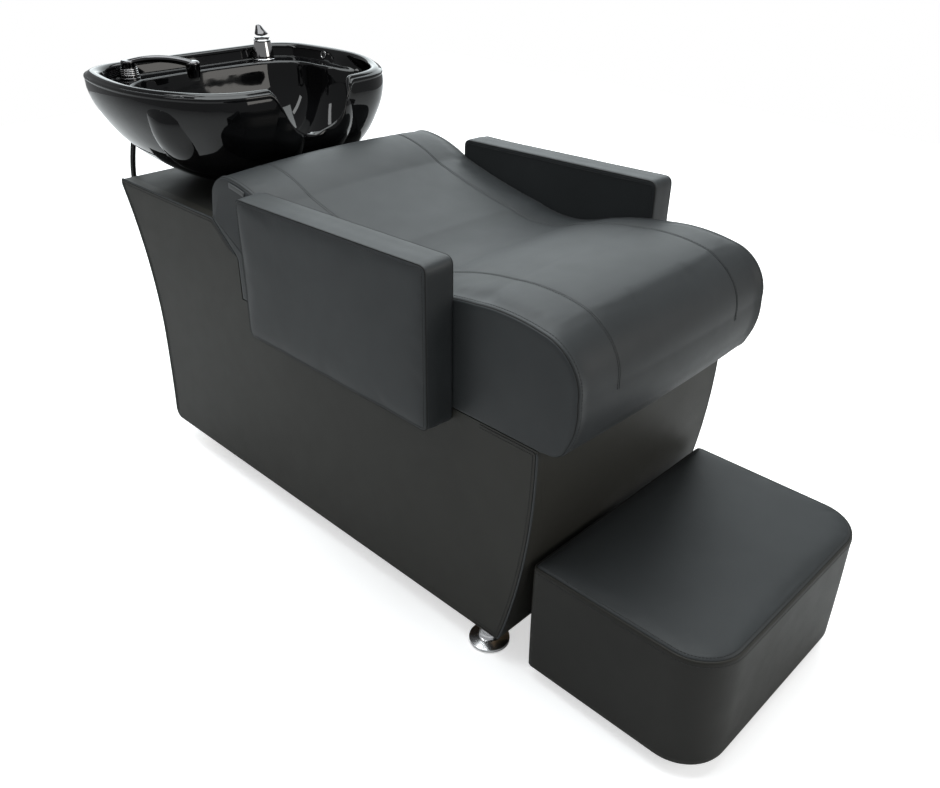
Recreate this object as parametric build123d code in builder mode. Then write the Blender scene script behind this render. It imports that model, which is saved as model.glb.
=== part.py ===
"""Salon hair washing bed.

An upholstered board base on four metal feet carries a wave-shaped cushion, two padded arm
panels and a deep ceramic bowl with a lever mixer and a pull-out hand shower. A padded
footrest block stands against the front.

Frame: +Z up, floor at z = 0, foot end toward -Y, bowl end toward +Y, mirror plane x = 0.
All lengths are millimetres.
"""
import os
from math import cos, radians, sin, tan

from build123d import *

os.makedirs("parts", exist_ok=True)

# Overall sizes
overall_length = 1722.0
base_width = 544.0
seat_height = 503.0
deck_height = 660.0
bowl_rise = 230.0
running_gap = 0.3
cut_overrun = 5.0

# Base carcass
board = 18.0
side_board = 22.0
base_clearance = 55.0
footrest_depth = 350.0
footrest_gap = 1.0
toe_recess = 67.0
front_straight = 23.0
toe_radius = 12.0
deck_rear_inset = 107.0
waist_inset = 194.0
waist_height = 315.0
heel_inset = 184.0
heel_height = 75.0
rear_lip_drop = 16.0
rear_bulge_inset = 170.0
rear_bulge_depth = 180.0
heel_radius = 18.0
deck_edge_radius = 12.0
riser_inset = 565.0
riser_drop = 67.0
deck_front_inset = 485.0
rail_width = 90.0

# Feet
foot_front_x = 240.0
foot_rear_x = 165.0
foot_front_inset = 117.0
foot_rear_inset = 275.0
foot_flange_radius = 39.0
foot_neck_radius = 17.0
foot_flange_edge = 6.0
foot_dish_height = 15.0
foot_neck_height = 27.0
foot_pad_radius = 34.0
foot_pad_thickness = 3.0

# Cushion. Each arc of its side seam has a middle and an end point: how far from the riser to the
# base front, how high from seat to deck, and how much of the crown pushes it out and up
cushion_tail_share = (-0.0844, 1.3930)
cushion_arc_share = (
    ((-0.0546, 1.5586, 0.0, 1.0), (0.0000, 1.6223, 0.0, 1.0)),
    ((0.0744, 1.5586, 0.0, 1.0), (0.1538, 1.3930, 0.0, 1.0)),
    ((0.2878, 1.2019, 0.0, 1.0), (0.4243, 1.0618, 0.0, 1.0)),
    ((0.5360, 0.9917, 0.0, 1.0), (0.6402, 1.1127, 0.0, 1.0)),
    ((0.7345, 1.2465, 0.0, 1.0), (0.8263, 1.3166, 0.0, 1.0)),
    ((0.9107, 1.3452, 0.0, 1.0), (0.9926, 1.2975, 0.0, 1.0)),
    ((1.0596, 1.1127, 0.5, 0.5), (1.0844, 0.7115, 1.0, 0.0)),
    ((1.0769, 0.3612, 1.0, 0.0), (1.0583, 0.0000, 0.0, 0.0)),
)
cushion_crown = 12.0
cushion_edge_draw = 5.0
cushion_edge_width = 9.0
cushion_seam_x = 171.0
cushion_slope_gap = 1.0

# Arm panels
arm_thickness = 61.0
arm_length = 503.0
arm_rear_inset = 118.0
arm_overlap = 19.0
arm_front_rise = 272.0
arm_rear_rise = 257.0
arm_corner_radius = 20.0
arm_front_corner_radius = 30.0
arm_edge_draw = 6.0
arm_edge_width = 10.0
arm_stud_radius = 4.0
arm_stud_length = 106.0
arm_stud_step_length = 180.0
arm_stud_count = 3

# Footrest block
footrest_width = 524.0
footrest_height = 264.0
footrest_glide_height = 33.0
footrest_top_thickness = 26.0
footrest_front_radius = 82.0
footrest_rear_radius = 10.0
footrest_top_draw = 6.0
footrest_board = 16.0
glide_radius = 15.0
glide_inset = 62.0

# Bowl, outer shell
bowl_half_width = 311.0
bowl_length = 483.0
bowl_rear_bulge = 1.7
bowl_foot_gap = 7.0
bowl_lean = 28.0
bowl_floor = 16.0
# Half outline from the rear centre round to the front centre, across and along
rim_outline_share = (
    (0.0, 1.0), (0.652, 1.003), (0.949, 0.706), (1.0, 0.091), (0.786, -0.774), (0.486, -1.016),
    (0.0, -1.050),
)
# Height up the shell and size of the outline there
shell_share = (
    (1.0, 0.983), (0.965, 1.0), (0.735, 0.989), (0.546, 0.929), (0.384, 0.857), (0.245, 0.764),
    (0.139, 0.665), (0.056, 0.562), (0.0, 0.450),
)

# Bowl, ledge and basin
ledge_drop = 31.0
rim_width_share = 0.925
ledge_size_share = 0.905
ledge_thickness = 14.0
basin_half_width = 276.0
basin_centre_inset = 252.0
basin_rear_reach = 182.0
basin_front_reach = 208.0
basin_outline_share = (
    (0.0, 1.0), (0.56, 0.945), (0.86, 0.38), (1.0, -0.15), (0.79, -0.74), (0.49, -0.985), (0.0, -1.0),
)
basin_share = (
    (1.0, 1.0), (0.62, 0.960), (0.40, 0.885), (0.22, 0.775), (0.09, 0.630), (0.0, 0.460),
)
notch_floor_radius = 70.0
notch_side_angle = 57.0
notch_depth = 105.0
notch_reach = 120.0
rim_round = 6.5
notch_round = 5.0

# Service wells under the ledge, and the tap hole places
tap_x = 182.0
tap_inset = 51.0
well_radius = 27.0
holder_hole_radius = 15.0
mixer_hole_radius = 17.5

# Drain
drain_inset = 270.0
drain_flange_radius = 40.0
drain_flange_thickness = 3.0
drain_neck_radius = 22.0
drain_bore_radius = 18.0
drain_neck_length = 63.0
drain_hole_gap = 0.5
deck_hole_radius = 40.0
gasket_outer_radius = 104.0
gasket_inner_radius = 60.0
clamp_washer_radius = 56.0
clamp_washer_thickness = 4.0
drain_nut_radius = 34.0
drain_nut_height = 12.0
nut_sides = 8
strainer_rim_radius = 24.0
strainer_rim_thickness = 1.8
strainer_basket_radius = 16.5
strainer_basket_depth = 12.0
strainer_wall = 1.2
strainer_hole_radius = 2.0
strainer_hole_ring_radius = 10.0
strainer_hole_count = 8
strainer_knob_radius = 4.0
strainer_knob_height = 11.0

# Trap and waste pipe
tail_radius = 16.0
tail_bore_radius = 14.0
tail_collar_radius = 21.5
tail_collar_height = 6.0
tail_nut_radius = 27.0
tail_nut_height = 16.0
trap_radius = 32.0
trap_top = 375.0
trap_height = 110.0
trap_cup_height = 34.0
trap_cup_radius = 10.0
trap_wall = 3.0
waste_height = 325.0
waste_radius = 21.5
waste_spigot_radius = 20.0
waste_spigot_length = 32.0
waste_bore_radius = 17.5
waste_stand_off = 5.0

# Hand shower and its holder
holder_flange_radius = 24.0
holder_flange_thickness = 5.0
holder_bottom_radius = 19.5
holder_top_radius = 17.0
holder_height = 26.0
holder_bore_radius = 9.6
holder_shank_radius = 14.5
holder_shank_length = 34.0
holder_rib_count = 16
holder_rib_radius = 1.6
holder_rib_depth = 0.6
holder_nut_radius = 22.0
holder_nut_height = 10.0
shower_stem_gap = 1.0
shower_collar_radius = 16.0
shower_collar_height = 15.0
shower_tube_radius = 8.0
shower_reach = 142.0
shower_rise = 11.0
shower_angle = -38.0
stem_radius = 9.3
shower_collar_round = 5.0
shower_tube_drop = 4.0
shower_head_radius = 16.0
shower_head_height = 36.0
shower_head_round = 7.0
shower_head_mouth_radius = 13.5
shower_nozzle_radius = 12.0
shower_nozzle_height = 12.0
shower_nozzle_seat = 5.0
shower_jet_radius = 0.9
shower_jet_ring_radius = 7.0
shower_jet_count = 8

# Shower hose
hose_radius = 6.25
hose_arc_share = 0.45
# Points down the hose: how far it bows to the side, runs in towards the base, and hangs down
hose_route_share = (
    (0.00, 0.0000, 0.0000), (0.00, 0.0000, 0.0874), (0.23, -0.0197, 0.1864), (0.69, -0.0592, 0.2908),
    (1.00, -0.0789, 0.3971), (1.00, -0.0658, 0.5034), (0.77, -0.0263, 0.6078), (0.46, 0.0395, 0.7123),
    (0.23, 0.1382, 0.8131), (0.08, 0.3092, 0.9120), (0.00, 0.6250, 1.0000), (0.00, 1.0526, 1.0000),
)
hose_bow = 28.0
grommet_bore_radius = 6.6
grommet_neck_radius = 11.0
grommet_flange_radius = 17.0
grommet_flange_thickness = 4.0

# Mixer
mixer_collar_radius = 24.0
mixer_collar_height = 8.0
mixer_waist_radius = 25.0
mixer_top_radius = 16.5
mixer_bell_height = 43.0
mixer_band_radius = 17.8
mixer_band_height = 4.0
mixer_shank_radius = 17.0
mixer_shank_length = 40.0
mixer_nut_radius = 24.0
mixer_nut_height = 11.0
mixer_tail_radius = 5.0
mixer_tail_offset = 7.0
mixer_tail_length = 60.0
hub_radius = 15.0
hub_height = 3.0
hub_tongue_width = 6.0
hub_tongue_depth = 7.0
pin_radius = 1.5
pin_gap = 0.06
barrel_radius = 4.6
barrel_width = 17.0
barrel_gap = 0.4
lever_slot_radius = 5.5
lever_round_share = 0.4
lever_length = 34.0
lever_root_width = 15.0
lever_root_thickness = 6.5
lever_tip_width = 9.0
lever_tip_thickness = 4.0
lever_rise_angle = 66.0

# Places along the bed, from its middle, and heights above the floor
bed_end = overall_length / 2
base_front = footrest_depth + footrest_gap - bed_end
riser_y = bed_end - riser_inset
deck_front = bed_end - deck_front_inset
deck_rear = bed_end - deck_rear_inset
waist_y = bed_end - waist_inset
heel_y = bed_end - heel_inset
rear_bulge_y = bed_end - rear_bulge_inset
foot_front_y = base_front + foot_front_inset
foot_rear_y = bed_end - foot_rear_inset
arm_rear = riser_y - arm_rear_inset
arm_front = arm_rear - arm_length
bowl_half_depth = bowl_length / 2
bowl_centre_y = bed_end - bowl_rear_bulge - bowl_half_depth
basin_centre_y = bed_end - basin_centre_inset
tap_y = bed_end - tap_inset
drain_y = bed_end - drain_inset
riser_height = deck_height - riser_drop
rear_bulge_height = deck_height - rear_bulge_depth
arm_bottom = seat_height - arm_overlap
arm_front_top = seat_height + arm_front_rise
arm_rear_top = seat_height + arm_rear_rise
rim_height = deck_height + bowl_rise
bowl_foot_z = deck_height + bowl_foot_gap
bowl_height = rim_height - bowl_foot_z
half_base = base_width / 2
half_inside = half_base - side_board


def save(piece, name):
    """Label a finished piece and write it under its node name."""
    piece.part.label = name
    export_step(piece.part, f"parts/{name}.step")


# Base outline: a sketch with the bed's length across and its height up
base_bottom = base_clearance
with BuildSketch() as square_outline:
    with BuildLine():
        front_edge = Line((base_front, seat_height), (base_front, seat_height - front_straight))
        toe = TangentArc(front_edge @ 1, (base_front + toe_recess, base_bottom), tangent=front_edge % 1)
        underside = Line(toe @ 1, (heel_y, base_bottom))
        heel = Line(underside @ 1, (heel_y, heel_height))
        lower_rear = ThreePointArc(
            heel @ 1,
            (waist_y + (heel_y - waist_y) / 4, (heel_height + waist_height) / 2),
            (waist_y, waist_height),
        )
        upper_rear = ThreePointArc(
            lower_rear @ 1,
            (rear_bulge_y, rear_bulge_height),
            (deck_rear, deck_height - rear_lip_drop),
        )
        Polyline(
            upper_rear @ 1,
            (deck_rear, deck_height),
            (deck_front, deck_height),
            (riser_y, riser_height),
            (riser_y, seat_height),
            (base_front, seat_height),
        )
    make_face()

with BuildSketch() as base_outline:
    add(square_outline.sketch)
    fillet(base_outline.vertices().group_by(Axis.Y)[0].sort_by(Axis.X)[0], radius=toe_radius)
    fillet(base_outline.vertices().group_by(Axis.Y)[0].sort_by(Axis.X)[-1], radius=heel_radius)
    fillet(base_outline.vertices().group_by(Axis.Y)[-1].sort_by(Axis.X)[-1], radius=deck_edge_radius)

with BuildSketch() as board_ring:
    add(base_outline.sketch)
    offset(square_outline.sketch, amount=-board, kind=Kind.INTERSECTION, mode=Mode.SUBTRACT)


def board_profile(y_low, y_high, z_low, z_high):
    """Cut one board's profile out of the ring of boards between two lengths and two heights."""
    with BuildSketch(Plane.YZ.offset(-half_inside)) as profile:
        add(board_ring.sketch)
        with Locations(((y_low + y_high) / 2, (z_low + z_high) / 2)):
            Rectangle(y_high - y_low, z_high - z_low, mode=Mode.INTERSECT)
    return profile.sketch


# Boards between the sides
half_run = half_inside * 2
front_rail_y = base_front + toe_recess + board
rear_rail_y = waist_y - 2 * board
board_limits = {
    "front_board": (base_front, front_rail_y, base_bottom, seat_height - board),
    "seat_board": (base_front, riser_y + board, seat_height - board, seat_height),
    "riser_board": (riser_y, deck_front, seat_height, deck_height - board),
    "deck_board": (riser_y, deck_rear, deck_height - board, deck_height),
    "rear_board": (rear_rail_y, deck_rear, base_bottom, deck_height - board),
}
arm_middle = (arm_front + arm_rear) / 2
stud_height = (arm_bottom + seat_height) / 2
stud_places = [
    (arm_middle + (index - (arm_stud_count - 1) / 2) * arm_stud_step_length, stud_height)
    for index in range(arm_stud_count)
]
for name, limits in board_limits.items():
    with BuildPart() as base_board:
        extrude(board_profile(*limits), amount=half_run)
        if name == "seat_board":
            with BuildSketch(Plane.YZ.offset(-half_base)):
                with Locations(*stud_places):
                    Circle(arm_stud_radius + running_gap)
            extrude(amount=base_width, mode=Mode.SUBTRACT)
        if name == "deck_board":
            with BuildSketch(Plane.XY.offset(deck_height)):
                with Locations((0, drain_y)):
                    Circle(deck_hole_radius)
            extrude(amount=-board, mode=Mode.SUBTRACT)
        if name == "rear_board":
            with BuildSketch(Plane.XZ.offset(-deck_rear)):
                with Locations((0, waste_height)):
                    Circle(waste_radius + running_gap)
                with Locations((-tap_x, waist_height)):
                    Circle(grommet_neck_radius + running_gap)
            extrude(amount=deck_rear - rear_rail_y, mode=Mode.SUBTRACT)
            with BuildSketch(Plane.XZ.offset(-deck_rear)):
                with Locations((-tap_x, waist_height)):
                    Circle(grommet_flange_radius + running_gap)
            extrude(amount=deck_rear - waist_y, mode=Mode.SUBTRACT)
    save(base_board, name)

# Side boards with the holes of the arm studs
for side, inner_x in (("left", -half_base), ("right", half_inside)):
    with BuildPart() as base_side:
        with BuildSketch(Plane.YZ.offset(inner_x)):
            add(base_outline.sketch)
            with Locations(*stud_places):
                Circle(arm_stud_radius + running_gap, mode=Mode.SUBTRACT)
        extrude(amount=side_board)
    save(base_side, f"base_side_{side}")

# Bulkhead under the riser, and the two rails that the feet screw to
with BuildPart() as bulkhead:
    with BuildSketch(Plane.XY.offset(base_bottom)):
        with Locations((0, riser_y + board / 2)):
            Rectangle(half_run, board)
    extrude(amount=seat_height - board - base_bottom)
save(bulkhead, "bulkhead")

rail_places = {
    "foot_rail_front": front_rail_y + rail_width / 2,
    "foot_rail_rear": rear_rail_y - rail_width / 2,
}
for name, rail_y in rail_places.items():
    with BuildPart() as foot_rail:
        with BuildSketch(Plane.XY.offset(base_bottom)):
            with Locations((0, rail_y)):
                Rectangle(half_run, rail_width)
        extrude(amount=board)
    save(foot_rail, name)

# Feet: a spun metal flange and neck over a rubber pad
foot_places = {
    "foot_front_left": (-foot_front_x, foot_front_y),
    "foot_front_right": (foot_front_x, foot_front_y),
    "foot_rear_left": (-foot_rear_x, foot_rear_y),
    "foot_rear_right": (foot_rear_x, foot_rear_y),
}
for name, (place_x, place_y) in foot_places.items():
    with BuildPart() as foot:
        with BuildSketch(Plane.XZ):
            with BuildLine():
                rim = Line((0, foot_pad_thickness), (foot_flange_radius, foot_pad_thickness))
                edge = Line(rim @ 1, (foot_flange_radius, foot_pad_thickness + foot_flange_edge))
                dish = Line(edge @ 1, (foot_neck_radius + foot_flange_edge, foot_dish_height))
                neck = TangentArc(dish @ 1, (foot_neck_radius, foot_neck_height), tangent=dish % 1)
                foot_top_edge = Polyline(neck @ 1, (foot_neck_radius, base_bottom), (0, base_bottom))
                Line(foot_top_edge @ 1, (0, foot_pad_thickness))
            make_face()
        revolve(axis=Axis.Z)
    foot.part.position = (place_x, place_y, 0)
    save(foot, name)

with BuildPart() as foot_pads:
    with BuildSketch():
        with Locations(*foot_places.values()):
            Circle(foot_pad_radius)
    extrude(amount=foot_pad_thickness)
save(foot_pads, "foot_pads")


def cushion_section(side_x, crown, draw):
    """Cushion outline at one distance across the bed, raised by its crown and drawn in at the edge."""
    bottom = seat_height + running_gap
    back = riser_y - cushion_slope_gap
    tail_z = deck_height + cushion_slope_gap + draw

    def seam(along, up, out_share, rise_share):
        lift = crown - draw
        return (
            riser_y - along * (riser_y - base_front) - out_share * lift,
            bottom + up * (deck_height - seat_height) + rise_share * lift,
        )

    with BuildSketch(Plane.YZ.offset(side_x)) as section:
        with BuildLine():
            top = Line((deck_front, tail_z), seam(*cushion_tail_share, 0.0, 0.0))
            for middle, end in cushion_arc_share:
                top = ThreePointArc(top @ 1, seam(*middle), seam(*end))
            Polyline(
                top @ 1,
                (back, bottom),
                (back, riser_height + cushion_slope_gap),
                (deck_front, tail_z),
            )
        make_face()
    return section.sketch.face()


# Cushion: one upholstered wave from the knee roll to the neck rest
cushion_half = half_base - running_gap
cushion_shoulder = cushion_half - cushion_edge_width
crown_middle = (cushion_seam_x + cushion_shoulder) / 2
crown_places = [0.0, cushion_seam_x / 2, cushion_seam_x, crown_middle, cushion_shoulder]
half_stations = [(x, cushion_crown * (1 - (x / cushion_shoulder) ** 2), 0.0) for x in crown_places]
half_stations.append((cushion_half, 0.0, cushion_edge_draw))
cushion_stations = [(-x, crown, draw) for x, crown, draw in half_stations[:0:-1]] + half_stations
with BuildPart() as cushion:
    loft([cushion_section(*station) for station in cushion_stations], ruled=True)
save(cushion, "cushion")


def arm_section(side_x, draw):
    """Arm panel outline at one distance across the bed, drawn in by its upholstery."""
    with BuildSketch(Plane.YZ.offset(side_x)) as section:
        with BuildLine():
            Polyline(
                (arm_front + draw, arm_bottom + draw),
                (arm_rear - draw, arm_bottom + draw),
                (arm_rear - draw, arm_rear_top - draw),
                (arm_front + draw, arm_front_top - draw),
                close=True,
            )
        make_face()
        front_top = section.vertices().sort_by(Axis.Y)[-1]
        fillet(front_top, radius=arm_front_corner_radius - draw)
        corners = [vertex for vertex in section.vertices() if vertex.Y < arm_bottom + arm_corner_radius]
        corners.append(section.vertices().filter_by_position(Axis.X, arm_rear - arm_corner_radius, arm_rear)
                       .sort_by(Axis.Y)[-1])
        fillet(corners, radius=arm_corner_radius - draw)
    return section.sketch.face()


# Arm panels: padded boards on studs through the side boards
for side, sign in (("left", -1), ("right", 1)):
    stations = [
        (half_base, arm_edge_draw / 2),
        (half_base + arm_edge_width, 0.0),
        (half_base + arm_thickness - arm_edge_width, 0.0),
        (half_base + arm_thickness, arm_edge_draw),
    ]
    with BuildPart() as arm:
        loft([arm_section(sign * x, draw) for x, draw in stations], ruled=True)
        with BuildSketch(Plane.YZ.offset(sign * half_base)):
            with Locations(*stud_places):
                Circle(arm_stud_radius + running_gap)
        extrude(amount=sign * arm_thickness / 2, mode=Mode.SUBTRACT)
    save(arm, f"arm_{side}")

with BuildPart() as arm_studs:
    for plane_x in (-half_base - arm_thickness / 2, half_base + arm_thickness / 2 - arm_stud_length):
        with BuildSketch(Plane.YZ.offset(plane_x)):
            with Locations(*stud_places):
                Circle(arm_stud_radius)
        extrude(amount=arm_stud_length)
save(arm_studs, "arm_studs")


def footrest_plan(height, draw):
    """Footrest outline seen from above: round front corners, nearly square rear corners."""
    rear = base_front - footrest_gap - draw
    front = draw - bed_end
    with BuildSketch(Plane.XY.offset(height)) as plan:
        with Locations((0, (front + rear) / 2)):
            Rectangle(footrest_width - 2 * draw, rear - front)
        fillet(plan.vertices().group_by(Axis.Y)[0], radius=footrest_front_radius - draw)
        fillet(plan.vertices().group_by(Axis.Y)[-1], radius=footrest_rear_radius)
    return plan.sketch.face()


# Footrest: an upholstered box, its padded top that closes it, and four glides
footrest_shoulder = footrest_height - footrest_top_thickness
with BuildPart() as footrest_body:
    extrude(footrest_plan(footrest_glide_height, 0.0), amount=footrest_shoulder - footrest_glide_height)
    footrest_floor = footrest_glide_height + footrest_board
    extrude(
        footrest_plan(footrest_floor, footrest_board),
        amount=footrest_shoulder - footrest_floor,
        mode=Mode.SUBTRACT,
    )
save(footrest_body, "footrest_body")

with BuildPart() as footrest_top:
    loft(
        [
            footrest_plan(footrest_shoulder, 0.0),
            footrest_plan(footrest_height - footrest_top_draw, 0.0),
            footrest_plan(footrest_height, footrest_top_draw),
        ],
        ruled=True,
    )
save(footrest_top, "footrest_top")

footrest_middle = footrest_depth / 2 - bed_end
with BuildPart() as footrest_glides:
    with BuildSketch():
        with Locations((0, footrest_middle)):
            with GridLocations(footrest_width - 2 * glide_inset, footrest_depth - 2 * glide_inset, 2, 2):
                Circle(glide_radius)
    extrude(amount=footrest_glide_height)
save(footrest_glides, "footrest_glides")


def ring_face(points, height):
    """Mirrored face of tangent arcs, from the rear centre point round to the front centre point."""
    with BuildSketch(Plane.XY.offset(height)) as ring:
        with BuildLine():
            heading = (1, 0)
            for start, end in zip(points, points[1:]):
                side_arc = TangentArc(start, end, tangent=heading)
                heading = side_arc % 1
            mirror(about=Plane.YZ)
        make_face()
    return ring.sketch.face()


bowl_front = bowl_centre_y - bowl_half_depth
widest_height = bowl_foot_z + bowl_height * shell_share[1][0]


def shell_face(size_share, height):
    """Outline of the bowl's outer shell at one height, leaning forward towards the foot."""
    lean = bowl_lean * (widest_height - height) / bowl_height
    points = [
        (across * bowl_half_width * size_share, bowl_centre_y - lean + along * bowl_half_depth * size_share)
        for across, along in rim_outline_share
    ]
    return ring_face(points, height)


def basin_face(size_share, height):
    """Outline of the wet basin at one height, its centre moving to the drain with depth."""
    shift = (basin_centre_y - drain_y) * (ledge_z - height) / basin_depth
    points = [
        (
            across * basin_half_width * size_share,
            basin_centre_y - shift
            + along * size_share * (basin_rear_reach if along > 0 else basin_front_reach),
        )
        for across, along in basin_outline_share
    ]
    return ring_face(points, height)


# Bowl: the ceramic shell, its rim recess with the tap ledge, the basin and the neck notch
ledge_z = rim_height - ledge_drop
basin_floor_z = bowl_foot_z + bowl_floor
basin_depth = ledge_z - basin_floor_z
under_ledge = ledge_z - ledge_thickness
notch_floor = rim_height - notch_depth
notch_top = rim_height + cut_overrun
notch_turn = radians(notch_side_angle)
notch_turn_x = notch_floor_radius * sin(notch_turn)
notch_turn_z = notch_floor + notch_floor_radius * (1 - cos(notch_turn))
notch_top_x = notch_turn_x + (notch_top - notch_turn_z) / tan(notch_turn)
holder_place = (-tap_x, tap_y)
mixer_place = (tap_x, tap_y)
drain_place = (0, drain_y)
with BuildPart() as bowl:
    loft([shell_face(size, bowl_foot_z + up * bowl_height) for up, size in shell_share[::-1]])
    loft([shell_face(ledge_size_share, ledge_z), shell_face(rim_width_share, rim_height)],
         ruled=True, mode=Mode.SUBTRACT)
    fillet(bowl.edges().group_by(Axis.Z)[-1], radius=rim_round)
    loft([basin_face(size, basin_floor_z + up * basin_depth) for up, size in basin_share[::-1]],
         mode=Mode.SUBTRACT)
    with BuildSketch(Plane.XZ.offset(-bowl_front - notch_reach)):
        with BuildLine():
            neck_curve = ThreePointArc(
                (-notch_turn_x, notch_turn_z),
                (0, notch_floor),
                (notch_turn_x, notch_turn_z),
            )
            Polyline(
                neck_curve @ 1,
                (notch_top_x, notch_top),
                (-notch_top_x, notch_top),
                neck_curve @ 0,
            )
        make_face()
    extrude(amount=notch_reach * 2, mode=Mode.SUBTRACT)
    fillet(bowl.faces().filter_by(GeomType.CYLINDER).edges(), radius=notch_round)
    with BuildSketch(Plane.XY.offset(under_ledge)):
        with Locations(holder_place, mixer_place):
            Circle(well_radius)
    extrude(amount=-bowl_height, mode=Mode.SUBTRACT)
    with BuildSketch(Plane.XY.offset(ledge_z)):
        with Locations(holder_place):
            Circle(holder_hole_radius)
        with Locations(mixer_place):
            Circle(mixer_hole_radius)
    extrude(amount=-ledge_thickness, mode=Mode.SUBTRACT)
    with BuildSketch(Plane.XY.offset(basin_floor_z)):
        with Locations(drain_place):
            Circle(drain_neck_radius + drain_hole_gap)
    extrude(amount=-bowl_floor, mode=Mode.SUBTRACT)
save(bowl, "bowl")


def tube(outer_radius, inner_radius, bottom, top, centre, mode=Mode.ADD):
    """Upright tube about a centre, or a plain cylinder when the inner radius is zero."""
    with BuildSketch(Plane.XY.offset(bottom)) as section:
        with Locations(centre):
            Circle(outer_radius)
            if inner_radius > 0:
                Circle(inner_radius, mode=Mode.SUBTRACT)
    extrude(section.sketch, amount=top - bottom, mode=mode)


def ring_nut(radius, sides, bore_radius, bottom, top, centre):
    """Flat-sided nut with a plain bore."""
    with BuildSketch(Plane.XY.offset(bottom)) as section:
        with Locations(centre):
            RegularPolygon(radius, sides)
            Circle(bore_radius, mode=Mode.SUBTRACT)
    extrude(section.sketch, amount=top - bottom)


# Drain: it clamps the bowl to the deck through a foam gasket
under_deck = deck_height - board
washer_bottom = under_deck - clamp_washer_thickness
neck_bottom = basin_floor_z - drain_neck_length
flange_top = basin_floor_z + drain_flange_thickness
with BuildPart() as bowl_gasket:
    tube(gasket_outer_radius, gasket_inner_radius, deck_height, bowl_foot_z, drain_place)
save(bowl_gasket, "bowl_gasket")

with BuildPart() as drain_flange:
    tube(drain_flange_radius, 0, basin_floor_z, flange_top, drain_place)
    chamfer(drain_flange.edges().group_by(Axis.Z)[-1], length=drain_flange_thickness / 2)
    tube(drain_neck_radius, 0, neck_bottom, basin_floor_z, drain_place)
    tube(drain_bore_radius, 0, neck_bottom, flange_top, drain_place, Mode.SUBTRACT)
save(drain_flange, "drain_flange")

with BuildPart() as clamp_washer:
    tube(clamp_washer_radius, drain_neck_radius + drain_hole_gap, washer_bottom, under_deck, drain_place)
save(clamp_washer, "clamp_washer")

with BuildPart() as drain_nut:
    ring_nut(drain_nut_radius, nut_sides, drain_neck_radius, washer_bottom - drain_nut_height, washer_bottom,
             drain_place)
save(drain_nut, "drain_nut")

# Strainer: a lift-out basket with a knob
strainer_seat = flange_top + running_gap
basket_bottom = strainer_seat - strainer_basket_depth
with BuildPart() as drain_strainer:
    tube(strainer_rim_radius, 0, strainer_seat, strainer_seat + strainer_rim_thickness, drain_place)
    tube(strainer_basket_radius, 0, basket_bottom, strainer_seat, drain_place)
    tube(strainer_basket_radius - strainer_wall, 0, basket_bottom + strainer_wall,
         strainer_seat + strainer_rim_thickness, drain_place, Mode.SUBTRACT)
    tube(strainer_knob_radius, 0, basket_bottom, strainer_seat + strainer_knob_height, drain_place)
    fillet(drain_strainer.edges().group_by(Axis.Z)[-1], radius=strainer_knob_radius / 2)
    with BuildSketch(Plane.XY.offset(basket_bottom)):
        with Locations(drain_place):
            with PolarLocations(strainer_hole_ring_radius, strainer_hole_count):
                Circle(strainer_hole_radius)
    extrude(amount=strainer_wall, mode=Mode.SUBTRACT)
save(drain_strainer, "drain_strainer")

# Tailpiece, held to the drain neck by its slip nut
collar_bottom = neck_bottom - tail_collar_height
with BuildPart() as drain_tail:
    tube(tail_collar_radius, tail_bore_radius, collar_bottom, neck_bottom, drain_place)
    tube(tail_radius, tail_bore_radius, trap_top, collar_bottom, drain_place)
save(drain_tail, "drain_tail")

tail_nut_bottom = neck_bottom - (tail_nut_height + tail_collar_height) / 2
with BuildPart() as tail_nut:
    ring_nut(tail_nut_radius, nut_sides, tail_radius + running_gap, tail_nut_bottom, collar_bottom,
             drain_place)
    ring_nut(tail_nut_radius, nut_sides, drain_neck_radius, collar_bottom, tail_nut_bottom + tail_nut_height,
             drain_place)
save(tail_nut, "tail_nut")

# Bottle trap with a screw cup, and the waste pipe out through the rear board
cup_bottom = trap_top - trap_height
cup_top = cup_bottom + trap_cup_height
with BuildPart() as trap_body:
    tube(trap_radius, 0, cup_top, trap_top, drain_place)
    fillet(trap_body.edges().group_by(Axis.Z)[-1], radius=trap_wall)
    tube(trap_radius - trap_wall, 0, cup_top, trap_top - trap_wall, drain_place, Mode.SUBTRACT)
    tube(tail_bore_radius, 0, cup_top, trap_top, drain_place, Mode.SUBTRACT)
    with BuildSketch(Plane.XZ.offset(-drain_y)):
        with Locations((0, waste_height)):
            Circle(waste_bore_radius)
    extrude(amount=-trap_radius, mode=Mode.SUBTRACT)
save(trap_body, "trap_body")

with BuildPart() as trap_cup:
    tube(trap_radius + trap_wall, 0, cup_bottom, cup_top, drain_place)
    fillet(trap_cup.edges().group_by(Axis.Z)[0], radius=trap_cup_radius)
    tube(trap_radius - trap_wall, 0, cup_bottom + trap_wall, cup_top, drain_place, Mode.SUBTRACT)
save(trap_cup, "trap_cup")

spigot_start = waist_y + waste_stand_off
with BuildPart() as waste_pipe:
    with BuildSketch(Plane.XZ.offset(-spigot_start)):
        with Locations((0, waste_height)):
            Circle(waste_radius)
    extrude(amount=spigot_start - drain_y)
    with BuildSketch(Plane.XZ.offset(-spigot_start)):
        with Locations((0, waste_height)):
            Circle(waste_spigot_radius)
    extrude(amount=-waste_spigot_length)
    with BuildSketch(Plane.XZ.offset(-spigot_start - waste_spigot_length)):
        with Locations((0, waste_height)):
            Circle(waste_bore_radius)
    extrude(amount=spigot_start + waste_spigot_length - drain_y, mode=Mode.SUBTRACT)
    tube(trap_radius, 0, cup_top, trap_top, drain_place, Mode.SUBTRACT)
save(waste_pipe, "waste_pipe")


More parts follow.
